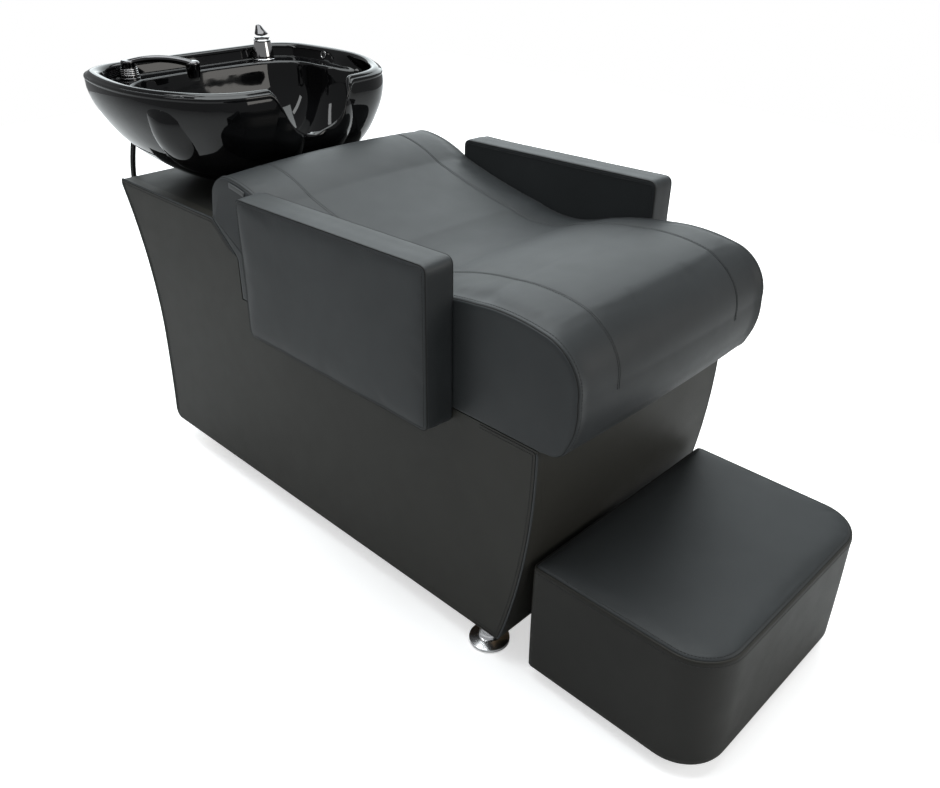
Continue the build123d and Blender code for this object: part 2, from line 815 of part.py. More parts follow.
def ribbed_face(radius, height):
    """Circle with finger ribs round its edge."""
    with BuildSketch(Plane.XY.offset(height)) as ribbed:
        with Locations(holder_place):
            Circle(radius)
            with PolarLocations(radius + holder_rib_radius - holder_rib_depth, holder_rib_count):
                Circle(holder_rib_radius, mode=Mode.SUBTRACT)
    return ribbed.sketch.face()


# Hand shower holder on the left of the ledge
holder_top = ledge_z + holder_height
holder_shoulder = ledge_z + holder_flange_thickness
shank_bottom = ledge_z - holder_shank_length
with BuildPart() as shower_holder:
    tube(holder_flange_radius, 0, ledge_z, holder_shoulder, holder_place)
    fillet(shower_holder.edges().group_by(Axis.Z)[-1], radius=holder_flange_thickness / 2)
    loft([ribbed_face(holder_bottom_radius, holder_shoulder), ribbed_face(holder_top_radius, holder_top)],
         ruled=True)
    tube(holder_shank_radius, 0, shank_bottom, ledge_z, holder_place)
    tube(holder_bore_radius, 0, shank_bottom, holder_top, holder_place, Mode.SUBTRACT)
save(shower_holder, "shower_holder")

with BuildPart() as holder_nut:
    ring_nut(holder_nut_radius, nut_sides, holder_shank_radius, under_ledge - holder_nut_height, under_ledge,
             holder_place)
save(holder_nut, "holder_nut")

# Hand shower: stem, collar, arched tube and head in one casting, and the rubber nozzle
stem_bottom = ledge_z + shower_stem_gap
shower_seat = holder_top + running_gap
collar_top = shower_seat + shower_collar_height
shower_heading = Vector(cos(radians(shower_angle)), sin(radians(shower_angle)), 0)
arch_start = Vector(-tap_x, tap_y, (shower_seat + collar_top) / 2)
arch_end = arch_start + shower_heading * shower_reach - Vector(0, 0, shower_tube_drop)
arch_crest = (arch_start + arch_end) / 2 + Vector(0, 0, shower_rise)
head_top = arch_end.Z + shower_tube_radius
head_bottom = head_top - shower_head_height
head_middle = (head_bottom + head_top) / 2
head_place = (arch_end.X, arch_end.Y)
nozzle_top = head_bottom + shower_nozzle_seat
with BuildPart() as shower_body:
    with BuildSketch(Plane.XY.offset(head_bottom)):
        with Locations(head_place):
            Circle(shower_head_mouth_radius)
    with BuildSketch(Plane.XY.offset(head_middle)):
        with Locations(head_place):
            Circle(shower_head_radius)
    loft()
    tube(shower_head_radius, 0, head_middle, head_top, head_place)
    fillet(shower_body.edges().group_by(Axis.Z)[-1], radius=shower_head_round)
    tube(shower_nozzle_radius, 0, head_bottom, nozzle_top, head_place, Mode.SUBTRACT)
    tube(stem_radius, 0, stem_bottom, shower_seat, holder_place)
    tube(shower_collar_radius, 0, shower_seat, collar_top, holder_place)
    fillet(shower_body.edges().group_by(Axis.Z)[-1], radius=shower_collar_round)
    arch = ThreePointArc(arch_start, arch_crest, arch_end)
    with BuildSketch(Plane(origin=arch_start, z_dir=arch % 0)):
        Circle(shower_tube_radius)
    sweep(path=arch)
save(shower_body, "shower_body")

nozzle_bottom = nozzle_top - shower_nozzle_height
with BuildPart() as shower_nozzle:
    tube(shower_nozzle_radius, 0, nozzle_bottom, nozzle_top, head_place)
    with BuildSketch(Plane.XY.offset(nozzle_bottom)):
        with Locations(head_place):
            with PolarLocations(shower_jet_ring_radius, shower_jet_count):
                Circle(shower_jet_radius)
    extrude(amount=shower_nozzle_height / 2, mode=Mode.SUBTRACT)
save(shower_nozzle, "shower_nozzle")

# Shower hose: from the stem down behind the base and in through the rear board
hose_top = stem_bottom - running_gap
hose_route = [
    (
        -tap_x - side * hose_bow,
        tap_y - back * (tap_y - waist_y),
        hose_top - down * (hose_top - waist_height),
    )
    for side, back, down in hose_route_share
]
hose_runs = [Vector(*end) - Vector(*start) for start, end in zip(hose_route, hose_route[1:])]
hose_radii = [
    hose_arc_share * min(before.length, after.length) / tan(radians(before.get_angle(after) / 2))
    for before, after in zip(hose_runs, hose_runs[1:])
]
print("hose arc radii", [round(radius) for radius in hose_radii])
with BuildPart() as shower_hose:
    with BuildLine() as hose_line:
        FilletPolyline(*hose_route, radius=hose_radii)
    with BuildSketch(Plane(origin=hose_route[0], z_dir=hose_line.line % 0)) as hose_section:
        Circle(hose_radius)
    sweep(path=hose_line.line)
hose_length = hose_line.wires()[0].length
print("hose volume", shower_hose.part.volume, "section by length", hose_section.sketch.area * hose_length)
save(shower_hose, "shower_hose")

with BuildPart() as hose_grommet:
    with BuildSketch(Plane.XZ.offset(-waist_y)):
        with Locations((-tap_x, waist_height)):
            Circle(grommet_flange_radius)
    extrude(amount=-grommet_flange_thickness)
    with BuildSketch(Plane.XZ.offset(-waist_y)):
        with Locations((-tap_x, waist_height)):
            Circle(grommet_neck_radius)
    extrude(amount=board)
    with BuildSketch(Plane.XZ.offset(-waist_y - grommet_flange_thickness)):
        with Locations((-tap_x, waist_height)):
            Circle(grommet_bore_radius)
    extrude(amount=board + grommet_flange_thickness, mode=Mode.SUBTRACT)
save(hose_grommet, "hose_grommet")

# Mixer: a spun bell body on a threaded shank with its nut and two tails
mixer_shoulder = ledge_z + mixer_collar_height
mixer_top = mixer_shoulder + mixer_bell_height
mixer_shank_bottom = ledge_z - mixer_shank_length
with BuildPart() as mixer_body:
    with BuildSketch(Plane.XZ):
        with BuildLine():
            collar = Polyline(
                (0, ledge_z),
                (mixer_collar_radius, ledge_z),
                (mixer_collar_radius, mixer_shoulder),
                (mixer_waist_radius, mixer_shoulder),
            )
            bell = TangentArc(
                collar @ 1,
                (mixer_top_radius, mixer_top - mixer_band_height),
                tangent=(-1, 1),
            )
            Polyline(
                bell @ 1,
                (mixer_band_radius, mixer_top - mixer_band_height),
                (mixer_band_radius, mixer_top),
                (0, mixer_top),
                (0, ledge_z),
            )
        make_face()
    revolve(axis=Axis.Z)
    tube(mixer_shank_radius, 0, mixer_shank_bottom, ledge_z, (0, 0))
mixer_body.part.position = (tap_x, tap_y, 0)
save(mixer_body, "mixer_body")

with BuildPart() as mixer_nut:
    ring_nut(mixer_nut_radius, nut_sides, mixer_shank_radius, under_ledge - mixer_nut_height, under_ledge,
             mixer_place)
save(mixer_nut, "mixer_nut")

with BuildPart() as mixer_tails:
    for side_x in (tap_x - mixer_tail_offset, tap_x + mixer_tail_offset):
        tube(mixer_tail_radius, 0, mixer_shank_bottom - mixer_tail_length, mixer_shank_bottom,
             (side_x, tap_y))
save(mixer_tails, "mixer_tails")

# Mixer lever: it turns on a hub for warmth and lifts on a pin for flow
hub_bottom = mixer_top + running_gap
hub_top = hub_bottom + hub_height
pin_z = hub_top + barrel_radius + barrel_gap
across = Plane.YZ.offset(tap_x - barrel_width / 2)
with BuildPart() as mixer_hub:
    tube(hub_radius, 0, hub_bottom, hub_top, mixer_place)
    with BuildSketch(Plane.XY.offset(hub_top)):
        with Locations(mixer_place):
            Rectangle(hub_tongue_width, hub_tongue_depth)
    extrude(amount=pin_z + hub_tongue_depth / 2 - hub_top)
    with BuildSketch(across):
        with Locations((tap_y, pin_z)):
            Circle(pin_radius + pin_gap)
    extrude(amount=barrel_width, mode=Mode.SUBTRACT)
save(mixer_hub, "mixer_hub")

with BuildPart() as lever_pin:
    with BuildSketch(across):
        with Locations((tap_y, pin_z)):
            Circle(pin_radius)
    extrude(amount=barrel_width)
save(lever_pin, "lever_pin")

lever_heading = Vector(0, cos(radians(lever_rise_angle)), sin(radians(lever_rise_angle)))
pin_centre = Vector(tap_x, tap_y, pin_z)
with BuildPart() as mixer_lever:
    with BuildSketch(across):
        with Locations((tap_y, pin_z)):
            Circle(barrel_radius)
    extrude(amount=barrel_width)
    with BuildSketch(Plane(origin=pin_centre, x_dir=(1, 0, 0), z_dir=lever_heading)):
        RectangleRounded(lever_root_width, lever_root_thickness, lever_root_thickness * lever_round_share)
    lever_tip = pin_centre + lever_heading * lever_length
    with BuildSketch(Plane(origin=lever_tip, x_dir=(1, 0, 0), z_dir=lever_heading)):
        RectangleRounded(lever_tip_width, lever_tip_thickness, lever_tip_thickness * lever_round_share)
    loft()
    with BuildSketch(Plane.YZ.offset(tap_x - hub_tongue_width / 2 - barrel_gap)):
        with Locations((tap_y, pin_z)):
            Circle(lever_slot_radius)
    extrude(amount=hub_tongue_width + 2 * barrel_gap, mode=Mode.SUBTRACT)
    with BuildSketch(across):
        with Locations((tap_y, pin_z)):
            Circle(pin_radius)
    extrude(amount=barrel_width, mode=Mode.SUBTRACT)
save(mixer_lever, "mixer_lever")
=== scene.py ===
"""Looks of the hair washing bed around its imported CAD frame. The frame is in metres, and outlines times MM are too."""

import math

import bmesh
import bpy
import numpy as np
from mathutils import Matrix, Vector
from mathutils.bvhtree import BVHTree
from mathutils.kdtree import KDTree


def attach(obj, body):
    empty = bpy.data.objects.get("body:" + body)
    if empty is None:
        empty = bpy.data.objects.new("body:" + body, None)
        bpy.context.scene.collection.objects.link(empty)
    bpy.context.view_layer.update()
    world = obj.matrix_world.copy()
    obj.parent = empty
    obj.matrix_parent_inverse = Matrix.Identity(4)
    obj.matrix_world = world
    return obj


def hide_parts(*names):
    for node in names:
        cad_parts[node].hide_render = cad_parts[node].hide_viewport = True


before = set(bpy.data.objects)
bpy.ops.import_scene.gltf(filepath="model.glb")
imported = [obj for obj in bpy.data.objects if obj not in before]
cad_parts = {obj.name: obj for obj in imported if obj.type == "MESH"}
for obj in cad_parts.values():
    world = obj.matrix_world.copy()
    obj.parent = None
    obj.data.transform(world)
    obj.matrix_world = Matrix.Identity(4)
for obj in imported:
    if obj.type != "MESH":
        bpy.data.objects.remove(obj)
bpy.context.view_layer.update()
MM = 0.001


# Camera at the photograph's place
scene = bpy.context.scene
scene.view_settings.view_transform = "Standard"
camera_data = bpy.data.cameras.new("camera")
camera_data.lens = 34.69
camera_data.sensor_width = 36.0
camera_data.clip_end = 100.0
camera = bpy.data.objects.new("camera", camera_data)
scene.collection.objects.link(camera)
right = Vector((0.6902, -0.7236, 0.0))
up = Vector((0.3635, 0.3467, 0.8647))
back = Vector((-0.6257, -0.5969, 0.5023))
roll = math.radians(0.84)
camera_x = (right * math.cos(roll) + up * math.sin(roll)).normalized()
camera_y = (up * math.cos(roll) - right * math.sin(roll)).normalized()
camera.matrix_world = Matrix.Translation((-1.1923, -1.2404, 1.2857)) @ Matrix(
    (camera_x, camera_y, back.normalized())
).transposed().to_4x4()
scene.camera = camera


# Materials: noise on object coordinates drives every tone, gloss and bump
class Surface:
    """One material with the links that all of them repeat."""

    def __init__(self, name):
        self.material = bpy.data.materials.new(name)
        self.material.use_nodes = True
        self.nodes = self.material.node_tree.nodes
        self.link = self.material.node_tree.links.new
        self.shader = self.nodes["Principled BSDF"]
        self.place = self.nodes.new("ShaderNodeTexCoord").outputs["Object"]
        self.normal = None

    def add(self, kind, **sockets):
        node = self.nodes.new(kind)
        for key, value in sockets.items():
            node.inputs[key.replace("_", " ")].default_value = value
        return node

    def noise(self, scale, detail):
        node = self.add("ShaderNodeTexNoise", Scale=scale, Detail=detail)
        self.link(self.place, node.inputs["Vector"])
        return node.outputs["Fac"]

    def ramp(self, factor, low, high, low_place=0.3, high_place=0.7):
        node = self.nodes.new("ShaderNodeValToRGB")
        for element, place, colour in zip(node.color_ramp.elements, (low_place, high_place), (low, high)):
            element.position = place
            element.color = (*colour, 1.0)
        self.link(factor, node.inputs["Fac"])
        return node.outputs["Color"]

    def tone(self, colour):
        self.link(colour, self.shader.inputs["Base Color"])

    def gloss(self, factor, low, high):
        node = self.add("ShaderNodeMapRange", To_Min=low, To_Max=high)
        self.link(factor, node.inputs["Value"])
        self.link(node.outputs["Result"], self.shader.inputs["Roughness"])

    def bump(self, height, strength, distance):
        """A bump on top of those before it."""
        node = self.add("ShaderNodeBump", Strength=strength, Distance=distance)
        self.link(height, node.inputs["Height"])
        if self.normal:
            self.link(self.normal, node.inputs["Normal"])
        self.normal = node.outputs["Normal"]
        self.link(self.normal, self.shader.inputs["Normal"])


BLACK, WHITE = (0.0, 0.0, 0.0), (1.0, 1.0, 1.0)


def leatherette(name, dark, light, specular=0.27):
    """Fine pebbled vinyl: slow tone drift, paler worn edges, and cell grain in the bump."""
    cover = Surface(name)
    tone = cover.ramp(cover.noise(5.0, 4.0), dark, light)
    geometry = cover.nodes.new("ShaderNodeNewGeometry")
    edge = cover.ramp(geometry.outputs["Pointiness"], BLACK, WHITE, 0.5, 0.62)
    worn = cover.nodes.new("ShaderNodeMix")
    worn.data_type = "RGBA"
    worn.inputs["B"].default_value = (*[channel * 1.7 for channel in light], 1.0)
    cover.link(edge, worn.inputs["Factor"])
    cover.link(tone, worn.inputs["A"])
    cover.tone(worn.outputs["Result"])
    cover.gloss(cover.noise(23.0, 5.0), 0.46, 0.56)
    cells = cover.add("ShaderNodeTexVoronoi", Scale=430.0, Randomness=0.85)
    cells.feature = "DISTANCE_TO_EDGE"
    cover.link(cover.place, cells.inputs["Vector"])
    cover.bump(cover.ramp(cells.outputs["Distance"], BLACK, WHITE, 0.0, 0.25), 0.16, 0.0004)
    cover.bump(cover.noise(14.0, 3.0), 0.12, 0.004)
    cover.shader.inputs["Specular IOR Level"].default_value = specular
    return cover.material


def glaze(name, tint):
    """Black ceramic glaze: clear and deep, with a faint orange-peel ripple and slow tone drift."""
    coat = Surface(name)
    coat.tone(coat.ramp(coat.noise(9.0, 2.0), tint, [channel * 1.8 for channel in tint], 0.35))
    coat.bump(coat.noise(26.0, 1.0), 0.06, 0.003)
    coat.shader.inputs["Roughness"].default_value = 0.04
    coat.shader.inputs["IOR"].default_value = 1.38
    return coat.material


def metal(name, colour, low, high):
    """Polished metal with faint smears in its gloss."""
    polish = Surface(name)
    smear = polish.noise(60.0, 4.0)
    polish.gloss(smear, low, high)
    polish.tone(polish.ramp(smear, [channel * 0.9 for channel in colour], colour))
    polish.shader.inputs["Metallic"].default_value = 1.0
    return polish.material


def moulded(name, colour, low, high, grain=900.0, strength=0.1):
    """Plastic or rubber with a fine moulded texture."""
    stuff = Surface(name)
    drift = stuff.noise(30.0, 3.0)
    stuff.tone(stuff.ramp(drift, colour, [min(1.0, channel * 1.35 + 0.002) for channel in colour]))
    stuff.gloss(drift, low, high)
    stuff.bump(stuff.noise(grain, 3.0), strength, 0.0003)
    return stuff.material


def plywood(name):
    """Bare board with long stretched grain."""
    board = Surface(name)
    stretch = board.add("ShaderNodeMapping", Scale=(3.0, 60.0, 60.0))
    board.link(board.place, stretch.inputs["Vector"])
    board.place = stretch.outputs["Vector"]
    grain = board.noise(1.6, 8.0)
    board.tone(board.ramp(grain, (0.30, 0.20, 0.11), (0.55, 0.42, 0.27)))
    board.bump(grain, 0.2, 0.0005)
    board.shader.inputs["Roughness"].default_value = 0.65
    return board.material


charcoal = leatherette("charcoal_leatherette", (0.0175, 0.0195, 0.0205), (0.0235, 0.026, 0.0275))
charcoal_base = leatherette("charcoal_leatherette_base", (0.0118, 0.0114, 0.0098), (0.0155, 0.015, 0.0128), 0.2)
# Darker copy of the base leatherette for the deck and seat boards: painted shade for the shadow under the bowl, the
# cloth is the same.
charcoal_deck_painted_shade = leatherette("charcoal_leatherette_deck_painted_shade", (0.0068, 0.0068, 0.0063), (0.0092, 0.0092, 0.0085), 0.15)
thread = moulded("charcoal_thread", (0.006, 0.0065, 0.007), 0.6, 0.8, 2500.0, 0.4)
# Near-black painted shade: thin tubes laid in the seam grooves, and a disc in the overflow opening.
gap_shade = moulded("seam_shadow", (0.0025, 0.0025, 0.0025), 0.8, 0.95)
black_glaze = glaze("black_glaze", (0.0015, 0.0015, 0.0017))
chrome = metal("chrome", (0.80, 0.80, 0.81), 0.03, 0.10)
dark_chrome = metal("dark_chrome", (0.42, 0.41, 0.41), 0.05, 0.12)
black_chrome = metal("black_chrome", (0.085, 0.083, 0.085), 0.04, 0.10)
woven_tag = moulded("woven_tag", (0.045, 0.047, 0.048), 0.45, 0.6, 1800.0, 0.5)
foot_chrome = metal("foot_chrome", (0.84, 0.84, 0.85), 0.16, 0.26)
steel = metal("plain_steel", (0.55, 0.55, 0.55), 0.25, 0.4)
brass = metal("plain_brass", (0.72, 0.56, 0.29), 0.2, 0.35)
black_rubber = moulded("black_rubber", (0.012, 0.012, 0.012), 0.6, 0.8)
black_plastic = moulded("black_plastic", (0.012, 0.012, 0.012), 0.4, 0.55)
white_plastic = moulded("white_plastic", (0.62, 0.62, 0.60), 0.3, 0.45)
hose_sheath = moulded("hose_sheath", (0.006, 0.006, 0.006), 0.08, 0.2, 400.0, 0.15)
bare_board = plywood("bare_board")

# The CAD nodes that show as they are
cad_materials = {
    charcoal_base: ("front_board", "riser_board", "rear_board"),
    # Deck and seat boards take the darker copy: painted shade under the bowl.
    charcoal_deck_painted_shade: ("seat_board", "deck_board"),
    bare_board: ("bulkhead", "foot_rail_front", "foot_rail_rear"),
    foot_chrome: ("foot_front_left", "foot_front_right", "foot_rear_left", "foot_rear_right"),
    chrome: ("drain_flange", "drain_strainer"),
    dark_chrome: ("mixer_body", "mixer_hub"),
    black_chrome: ("shower_body", "shower_holder", "holder_nut"),
    black_rubber: ("foot_pads", "bowl_gasket", "hose_grommet", "shower_nozzle"),
    black_plastic: ("footrest_glides",),
    steel: ("arm_studs", "lever_pin"),
    brass: ("clamp_washer", "drain_nut", "mixer_nut", "mixer_tails"),
    white_plastic: ("drain_tail", "tail_nut", "trap_body", "trap_cup", "waste_pipe"),
}
for material, names in cad_materials.items():
    for name in names:
        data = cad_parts[name].data
        data.materials.clear()
        data.materials.append(material)


# Mesh helpers
def mesh_piece(name, points, faces, material):
    data = bpy.data.meshes.new(name)
    data.from_pydata([tuple(map(float, point)) for point in points], [], faces)
    tidy = bmesh.new()
    tidy.from_mesh(data)
    bmesh.ops.remove_doubles(tidy, verts=tidy.verts, dist=1e-6)
    bmesh.ops.recalc_face_normals(tidy, faces=tidy.faces)
    tidy.to_mesh(data)
    tidy.free()
    data.materials.append(material)
    data.shade_smooth()
    piece = bpy.data.objects.new(name, data)
    scene.collection.objects.link(piece)
    return piece


def skin(rings, closed_ring=True, cap_first=False, cap_last=False):
    """Points and quads of a skin through rings of equal count, with flat caps where asked."""
    rings = np.asarray(rings)
    count, around = rings.shape[:2]
    faces = []
    last = around if closed_ring else around - 1
    for row in range(count - 1):
        for i in range(last):
            j = (i + 1) % around
            faces.append((row * around + i, row * around + j, (row + 1) * around + j, (row + 1) * around + i))
    if cap_first:
        faces.append(tuple(range(around))[::-1])
    if cap_last:
        faces.append(tuple(range((count - 1) * around, count * around)))
    return rings.reshape(-1, 3), faces


def arc_through(start, middle, end, count):
    """Points of the circle arc from start to end through middle, in a plane, start left out."""
    a, b, c = (np.array(point, float) for point in (start, middle, end))
    matrix = 2 * np.array([b - a, c - a])
    centre = np.linalg.solve(matrix, np.array([b @ b - a @ a, c @ c - a @ a]))
    angles = [math.atan2(*(point - centre)[::-1]) for point in (a, b, c)]
    sweep = (angles[2] - angles[0]) % (2 * math.pi)
    if (angles[1] - angles[0]) % (2 * math.pi) > sweep:
        sweep -= 2 * math.pi
    radius = np.linalg.norm(a - centre)
    steps = angles[0] + sweep * np.arange(1, count + 1) / count
    return centre + radius * np.column_stack((np.cos(steps), np.sin(steps)))


def tangent_chain(points, heading, count):
    """Points of tangent arcs through the given points, from a first heading."""
    track = [np.array(points[0], float)]
    heading = np.array(heading, float)
    for start, end in zip(points, points[1:]):
        start, end = np.array(start, float), np.array(end, float)
        chord = end - start
        turn = math.atan2(heading[0] * chord[1] - heading[1] * chord[0], heading @ chord)
        reach = np.linalg.norm(chord)
        normal = np.array((-heading[1], heading[0]))
        if abs(turn) < 1e-6:
            track.extend(start + chord * k / count for k in range(1, count + 1))
            continue
        radius = reach / (2 * math.sin(turn))
        for k in range(1, count + 1):
            angle = 2 * turn * k / count
            track.append(start + radius * (heading * math.sin(angle) + normal * (1 - math.cos(angle))))
        spin = 2 * turn
        heading = np.array((heading[0] * math.cos(spin) - heading[1] * math.sin(spin),
                            heading[0] * math.sin(spin) + heading[1] * math.cos(spin)))
    return np.array(track)


def round_corners(points, radius, sharp=25.0, count=5):
    """Closed outline with each corner sharper than the limit rounded by an arc."""
    points = np.asarray(points, float)
    track = []
    for i, point in enumerate(points):
        before = points[i - 1] - point
        after = points[(i + 1) % len(points)] - point
        a, b = np.linalg.norm(before), np.linalg.norm(after)
        before, after = before / a, after / b
        turn = math.pi - math.acos(max(-1.0, min(1.0, float(before @ after))))
        if math.degrees(turn) < sharp:
            track.append(point)
            continue
        reach = min(radius * math.tan(turn / 2), 0.45 * a, 0.45 * b)
        start, end = point + before * reach, point + after * reach
        for k in range(count + 1):
            t = k / count
            track.append((1 - t) ** 2 * start + 2 * t * (1 - t) * point + t ** 2 * end)
    return np.array(track)


def resample(points, step, closed=True):
    """Evenly spaced points along an outline."""
    points = np.asarray(points, float)
    if closed:
        points = np.vstack((points, points[:1]))
    lengths = np.concatenate(([0.0], np.cumsum(np.linalg.norm(np.diff(points, axis=0), axis=1))))
    count = max(8, int(round(lengths[-1] / step)))
    places = np.linspace(0.0, lengths[-1], count, endpoint=not closed)
    return np.column_stack([np.interp(places, lengths, points[:, axis]) for axis in range(points.shape[1])])


def inset(points, depth):
    """Closed planar outline moved inwards along its vertex normals."""
    before = points - np.roll(points, 1, 0)
    after = np.roll(points, -1, 0) - points
    along = before / np.maximum(np.linalg.norm(before, axis=1, keepdims=True), 1e-9)
    along = along + after / np.maximum(np.linalg.norm(after, axis=1, keepdims=True), 1e-9)
    along /= np.maximum(np.linalg.norm(along, axis=1, keepdims=True), 1e-9)
    area = np.sum(points[:, 0] * np.roll(points[:, 1], -1) - np.roll(points[:, 0], -1) * points[:, 1])
    normal = np.column_stack((-along[:, 1], along[:, 0])) * np.sign(area)
    return points + normal * depth


def tube_piece(name, points, radius, material, sides=8, closed=False):
    """Round tube along a line of points."""
    points = np.asarray(points, float)
    ahead = np.roll(points, -1, 0) - np.roll(points, 1, 0)
    if not closed:
        ahead[0] = points[1] - points[0]
        ahead[-1] = points[-1] - points[-2]
    ahead /= np.linalg.norm(ahead, axis=1, keepdims=True)
    side = np.cross(ahead[0], (0.123, 0.456, 0.881))
    rings = []
    for point, forward in zip(points, ahead):
        side = side - forward * (side @ forward)
        side /= np.linalg.norm(side)
        other = np.cross(forward, side)
        rings.append([
            point + radius * (side * math.cos(2 * math.pi * k / sides) + other * math.sin(2 * math.pi * k / sides))
            for k in range(sides)
        ])
    if closed:
        rings.append(rings[0])
    return mesh_piece(name, *skin(rings, cap_first=not closed, cap_last=not closed), material)


def surface_of(piece):
    """Search tree over a piece's own mesh."""
    mesh = piece.data
    return BVHTree.FromPolygons([v.co for v in mesh.vertices], [p.vertices for p in mesh.polygons])


def on_surface(tree, points, lift):
    """The points moved to the nearest place on a surface, and lifted off it, with the normals there."""
    placed, normals = [], []
    for point in points:
        spot, normal, _, _ = tree.find_nearest(Vector(point))
        if (Vector(point) - spot).dot(normal) < -0.02:
            normal = -normal
        placed.append(np.array(spot) + np.array(normal) * lift)
        normals.append(np.array(normal))
    return np.array(placed), np.array(normals)


def stitch_row(name, tree, points, pitch=0.0056, length=0.0045, radius=0.00075, lift=0.00012, closed=False):
    """A row of separate stitches lying on a surface along a line."""
    path = resample(points, pitch / 4, closed)
    spots, normals = on_surface(tree, path, lift)
    all_points, all_faces = [], []
    half = length / 2
    for k in range(2, len(spots) - 2, 4):
        forward = spots[k + 1] - spots[k - 1]
        forward /= max(np.linalg.norm(forward), 1e-9)
        up_way = normals[k] - forward * (normals[k] @ forward)
        up_way /= max(np.linalg.norm(up_way), 1e-9)
        side = np.cross(forward, up_way)
        start = len(all_points)
        for step, size, drop in ((-1.0, 0.35, -1.0), (-0.6, 1.0, 0.0), (0.6, 1.0, 0.0), (1.0, 0.35, -1.0)):
            centre = spots[k] + forward * half * step + up_way * radius * drop
            for turn in range(6):
                angle = math.pi * turn / 3
                all_points.append(centre + size * radius * (side * math.cos(angle) + up_way * math.sin(angle)))
        for row in range(3):
            for turn in range(6):
                a, b = start + row * 6 + turn, start + row * 6 + (turn + 1) % 6
                all_faces.append((a, b, b + 6, a + 6))
        all_faces.append(tuple(start + turn for turn in range(6))[::-1])
        all_faces.append(tuple(start + 18 + turn for turn in range(6)))
    return mesh_piece(name, all_points, all_faces, thread)


# Shower hose: from the holder down behind the bowl and back into the base
hose_route = (
    (-0.1820, 0.8100, 0.8597), (-0.1820, 0.8100, 0.8121), (-0.1884, 0.8128, 0.7582), (-0.2013, 0.8185, 0.7013),
    (-0.2100, 0.8213, 0.6434), (-0.2100, 0.8194, 0.5855), (-0.2036, 0.8138, 0.5286), (-0.1949, 0.8044, 0.4717),
    (-0.1884, 0.7902, 0.4168), (-0.1842, 0.7658, 0.3629), (-0.1820, 0.7206, 0.3150), (-0.1820, 0.6595, 0.3150),
)
HOSE_DIAMETER = 0.0125
hose_data = bpy.data.curves.new("hose", "CURVE")
hose_data.dimensions = "3D"
hose_spline = hose_data.splines.new("NURBS")
hose_spline.points.add(len(hose_route) - 1)
for control, place in zip(hose_spline.points, hose_route):
    control.co = (*place, 1.0)
hose_spline.order_u = 3
hose_spline.use_endpoint_u = True
hose_data.resolution_u = 16
hose_data.bevel_depth = HOSE_DIAMETER / 2
hose_data.bevel_resolution = 6
hose_data.use_fill_caps = True
hose_data.materials.append(hose_sheath)
hose = bpy.data.objects.new("hose", hose_data)
scene.collection.objects.link(hose)
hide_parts("shower_hose")
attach(hose, "bed")


def place_on(piece, body, slot, *nodes):
    """Rides a piece on its body and hides the CAD nodes that it stands for. The slot is not used."""
    if nodes:
        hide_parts(*nodes)
    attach(piece, body)
    return piece


def ease(value, low, high):
    share = np.clip((value - low) / (high - low), 0.0, 1.0)
    return share * share * (3.0 - 2.0 * share)


CLOTH_FRAMES = 20


def inflate(source, voxel, pressure, cap, freedom):
    """Blows up a remeshed copy as cloth and moves the source's points as far as the copy's went."""
    form = bpy.data.objects.new(source.name + "_form", source.data.copy())
    scene.collection.objects.link(form)
    remesh = form.modifiers.new("remesh", "REMESH")
    remesh.mode = "VOXEL"
    remesh.voxel_size = voxel
    evaluated = form.evaluated_get(bpy.context.evaluated_depsgraph_get())
    skin_mesh = bpy.data.meshes.new_from_object(evaluated)
    form.modifiers.clear()
    form.data = skin_mesh
    count = len(skin_mesh.vertices)
    before = np.empty(count * 3)
    skin_mesh.vertices.foreach_get("co", before)
    before = before.reshape(-1, 3)
    cloth = form.modifiers.new("cloth", "CLOTH")
    cloth.settings.quality = 4
    cloth.settings.mass = 0.3
    cloth.settings.tension_stiffness = 25.0
    cloth.settings.compression_stiffness = 25.0
    cloth.settings.shear_stiffness = 12.0
    cloth.settings.bending_stiffness = 1.5
    cloth.settings.use_pressure = True
    cloth.settings.uniform_pressure_force = pressure
    cloth.settings.effector_weights.gravity = 0.0
    cloth.collision_settings.use_collision = False
    cloth.point_cache.frame_start = 1
    cloth.point_cache.frame_end = CLOTH_FRAMES
    for step in range(CLOTH_FRAMES):
        scene.frame_set(step + 1)
    evaluated = form.evaluated_get(bpy.context.evaluated_depsgraph_get())
    blown = bpy.data.meshes.new_from_object(evaluated)
    after = np.empty(count * 3)
    blown.vertices.foreach_get("co", after)
    moves = after.reshape(-1, 3) - before
    scene.frame_set(1)
    bpy.data.objects.remove(form)
    tree = KDTree(count)
    for index, point in enumerate(before):
        tree.insert(point, index)
    tree.balance()
    lengths = np.linalg.norm(moves, axis=1)
    moves *= np.minimum(1.0, cap / np.maximum(lengths, 1e-9))[:, None]
    for vertex in source.data.vertices:
        near = tree.find_n(vertex.co, 5)
        weights = np.array([1.0 / (distance + 0.001) for _, _, distance in near])
        move = (moves[[index for _, index, _ in near]] * weights[:, None]).sum(0) / weights.sum()
        vertex.co += Vector(move * freedom(vertex.co))
    source.data.update()


# Cushion: a wave from the knee roll up to the neck rest
HALF_WIDTH = 271.7
top_line = [np.array([[376.0, 661.0]]), np.array([[364.0, 722.0]])]
for middle, end in (((340, 748), (296, 758)), ((236, 748), (172, 722)), ((64, 692), (-46, 670)),
                    ((-136, 659), (-220, 678)), ((-296, 699), (-370, 710)), ((-438, 714.5), (-504, 707)),
                    ((-558, 678), (-578, 615)), ((-577, 572), (-563, 530)), ((-550, 511), (-526, 503.3))):
    top_line.append(arc_through(top_line[-1][-1], middle, end, 24))
cushion_top = resample(np.vstack(top_line), 5.0, closed=False)
cushion_under = resample(np.array([[-526, 503.3], [295, 503.3], [295, 594], [376, 661]]), 12.0, closed=False)[1:-1]
cushion_outline = np.vstack((cushion_top, cushion_under))


